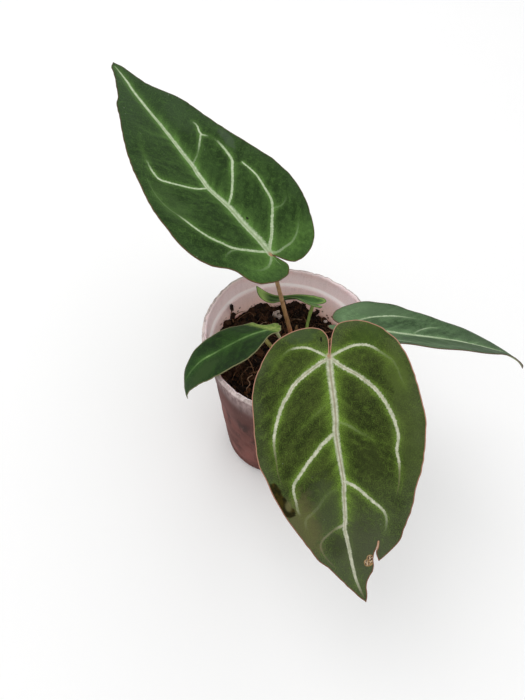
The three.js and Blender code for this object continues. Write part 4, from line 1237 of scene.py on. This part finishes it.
# Roots and threads that lie on the mix: points, radius and tone
THREADS = [
    ([(-24, 4, 92), (-22.2, -3, 93.4), (-19.5, -7, 93.2), (-16.8, -12, 91.5)], 0.42, 0.92),
    ([(-18, -13, 92), (-20.2, -16.5, 93), (-18.6, -19.5, 93), (-20, -22.5, 92.6), (-19, -27, 91.2)], 0.28,
      1),
    ([(-21, -9, 91.8), (-24, -15, 92.8), (-22.5, -21, 92.4), (-25, -27, 91)], 0.2, 0.9),
    ([(-34.2, 19.5, 98.2), (-31.6, 23.2, 98), (-29, 26, 97), (-26.8, 27.6, 96)], 0.3, 0.9),
    ([(-33, 18, 96), (-34.4, 19.6, 100), (-34.7, 20.4, 104), (-34.9, 20.2, 108.4)], 0.34, 0.9),
    ([(-32, 22.5, 92), (-28, 26, 94), (-24.6, 29, 93.6)], 0.25, 0.9),
    ([(4, 1, 91.5), (-4, -6, 92.4), (-12, -9, 92.2), (-20, -12, 91)], 0.7, 0.9),
    ([(12, 14, 91.4), (19, 21, 92.6), (25, 25, 91.2)], 0.6, 0.9),
    ([(8, 14, 92.5), (10, 24, 93.2), (7, 33, 92.2)], 0.45, 0.9),
    ([(12, 2, 91.4), (21, -6, 91.6), (30, -9, 90.6)], 0.6, 0.9),
]


def build_threads():
    thinning = 1 - 0.55 * np.linspace(0, 1, 31) ** 2
    parts = [(*tube(smooth_run(points, 30), radius * thinning, 9, rough=0.3), tone)
             for points, radius, tone in THREADS]
    join_parts("root_threads", parts, fibre_material("root_skin"))


def fibre_material(name):
    g = Graph(name)
    tone = g.split(g.field("chip"))[0]
    fine = g.noise(g.place(), 1300, 3, 0.6)
    g.start(tone.ramp(0.2, 0.95), (48, 32, 21), (142, 106, 76))
    g.paint(tone.ramp(0.97, 0.99), (214, 178, 148))
    g.paint(fine.ramp(0.4, 0.7, 0, 0.6), (88, 60, 40))
    return g.finish(fine.ramp(0.3, 0.7, 0.6, 0.8), fine, 0.15, Specular_IOR_Level=0.3)


# Pale grains: place and half size
GRAINS = [((-9.9, 29.2, 94.2), 1.7), ((-7.2, 28.2, 94.3), 1.4), ((-8.4, 31.4, 94.4), 1.1), ((14.6, 34, 93.2),
    0.8), ((20.4, 30.4, 92.6), 1.0), ((24, 28, 92.2), 0.8)]


def build_grains():
    rng = np.random.default_rng(37)
    parts = []
    for at, size in GRAINS:
        points, faces = lump(rng, size * np.array([1, 0.8, 0.8]), 5, 0.3)
        parts.append((turned(rng, points, 0.6) + at, faces, rng.random()))
    while len(parts) < GRAIN_COUNT:
        _, x, y = random_spot(rng, GRAIN_CIRCLE)
        points, faces = lump(rng, rng.uniform(0.3, 0.6) * np.array([1, 0.8, 0.7]), 4, 0.3)
        if clear_of_crown(x, y):
            at = (x, y, height_at(x, y) + 0.2)
            parts.append((turned(rng, points, 1.0) + at, faces, rng.random()))
    g = Graph("pale_grain")
    fine = g.noise(g.place(), 1500, 3, 0.6)
    g.start(fine.ramp(0.35, 0.65), (248, 234, 226), (206, 182, 168))
    join_parts("pale_grains", parts, g.finish(fine.ramp(0.3, 0.7, 0.7, 0.9), fine, 0.3))


# Crown: a short ringed stem with papery sheaths
def build_crown():
    turn = angles(CROWN_SIDES)
    z = np.linspace(CROWN_FOOT + 0.5, CROWN_TOP - 0.4, CROWN_RINGS)[:, None]
    share = (z - CROWN_FOOT) / (CROWN_TOP - CROWN_FOOT)
    r = CROWN_RADIUS * np.interp(share, [0, 0.3, 0.6, 0.82, 0.93, 1], [0.35, 0.78, 1, 0.98, 0.74, 0.25])
    bumps = 0.9 + 0.2 * lattice_noise(turn[None, :] * 5 + 30, z, 2.4, 8)
    r = r * (1 + 0.05 * np.abs(np.sin(z * 1.9))) * bumps
    rings = np.stack([CROWN_AT[0] + r * np.cos(turn), CROWN_AT[1] + r * np.sin(turn), z + 0 * r], -1)
    points, faces = ring_solid(rings, (*CROWN_AT, CROWN_FOOT), (*CROWN_AT, CROWN_TOP))
    g = Graph("crown_skin")
    bands = g.noise(g.place(120, 120, 900), 1, 3, 0.6)
    fine = g.noise(g.place(), 1200, 3, 0.6)
    g.start(bands.ramp(0.35, 0.65), (96, 72, 42), (128, 110, 62))
    g.paint(fine.ramp(0.5, 0.72, 0, 0.7), (62, 42, 26))
    material = g.finish(fine.ramp(0.3, 0.7, 0.6, 0.8), bands + fine, 0.3)
    make_piece("crown_stem", points, faces, [material], "crown_stem", "crown")


# Papery sheaths round the crown: azimuth, foot height, length, width and lean
SHEATHS = [(150, 92, 17, 4.2, 0.18), (30, 91, 14, 4.6, 0.3), (-48, 91, 13, 4.8, 0.34),
    (252, 91.5, 11, 4.2, 0.4), (100, 92, 15, 3.8, 0.22)]


def build_sheaths():
    points, faces = [], []
    rows, columns = 22, 13
    size = rows * columns
    t, w = np.linspace(0, 1, rows)[:, None], np.linspace(-1, 1, columns)
    index = np.arange(size).reshape(rows, columns)
    ring = [*index[:, 0], *index[-1, 1:], *index[-2::-1, -1], *index[0, -2:0:-1]]
    for azimuth, foot, length, width, lean in SHEATHS:
        start, spin = size * len(points), radians(azimuth)
        half = width / 2 * (1 - t ** 1.8) ** 0.6 + 0.05
        for face_side in (1, -1):
            out = CROWN_RADIUS * 0.9 + lean * length * t ** 1.5 - 0.5 * half * w * w + 0.09 * face_side
            out = out + 0.25 * np.sin(5 * t + 3 * w + azimuth)
            x = CROWN_AT[0] + out * cos(spin) - half * w * sin(spin)
            y = CROWN_AT[1] + out * sin(spin) + half * w * cos(spin)
            z = foot + length * (t - 0.12 * t ** 3) + 0 * w
            points.append(np.stack([x, y, z], -1).reshape(-1, 3))
        inner = grid_faces(rows, columns) + start
        faces += inner[:, ::-1].tolist() + (inner + size).tolist()
        for a, b in zip(ring, ring[1:] + ring[:1]):
            faces.append([start + a, start + b, start + size + b, start + size + a])
    g = Graph("sheath_skin")
    veins = g.noise(g.place(1500, 1500, 90), 1, 3, 0.6)
    g.start(veins.ramp(0.35, 0.65), (142, 112, 72), (96, 68, 42))
    material = g.finish(veins.ramp(0.3, 0.7, 0.55, 0.75), veins, 0.2)
    make_piece("crown_sheaths", np.vstack(points), faces, [material], "crown_stem")


# Floor, light and camera
def build_floor():
    bpy.ops.mesh.primitive_plane_add(size=12, location=(0, 0, -0.0004))
    floor = bpy.context.object
    floor.name = "floor"
    g = Graph("pale_floor")
    g.start(g.noise(g.place(), 3), (250, 250, 250), (253, 253, 253))
    floor.data.materials.append(g.finish(0.9))


def add_light(name, at, size, power, target=(0, 0, 0.1)):
    data = bpy.data.lights.new(name, "AREA")
    data.shape = "DISK"
    data.size = size
    data.energy = power
    light = add_object(name, data)
    light.location = at
    light.rotation_euler = (Vector(target) - Vector(at)).to_track_quat("-Z", "Y").to_euler()


def build_light():
    add_light("key", (-0.5, 0.1, 1.3), 0.9, 4.5)
    add_light("fill", (0.9, -0.7, 0.8), 1.0, 0.8)
    add_light("back", (0.2, 1.2, 0.9), 0.9, 1.2)
    world = bpy.data.worlds.new("studio")
    world.use_nodes = True
    background = world.node_tree.nodes["Background"]
    background.inputs[0].default_value = (1, 1, 1, 1)
    background.inputs[1].default_value = 0.82
    bpy.context.scene.world = world
    bpy.context.scene.view_settings.view_transform = "Standard"


def build_camera():
    data = bpy.data.cameras.new("camera")
    data.sensor_width = SENSOR
    data.lens = SENSOR * IMAGE_FOCUS / IMAGE_HEIGHT
    data.clip_start = 0.01
    camera = add_object("camera", data)
    tilt = Matrix.Rotation(radians(90 - CAMERA_ELEVATION), 4, "X")
    roll = Matrix.Rotation(radians(CAMERA_ROLL), 4, "Z")
    camera.matrix_world = Matrix.Translation(Vector(CAMERA_AT) * MM) @ tilt @ roll
    bpy.context.scene.camera = camera


for build in (build_camera, build_floor, build_light, build_cup, build_mix, build_loose_bark,
              build_standing_bits, build_fibres, build_tufts, build_threads, build_grains, build_crown,
              build_sheaths):
    build()
for stalk_name in STALKS:
    build_stalk(stalk_name)
for blade_name in BLADES:
    build_blade(blade_name)
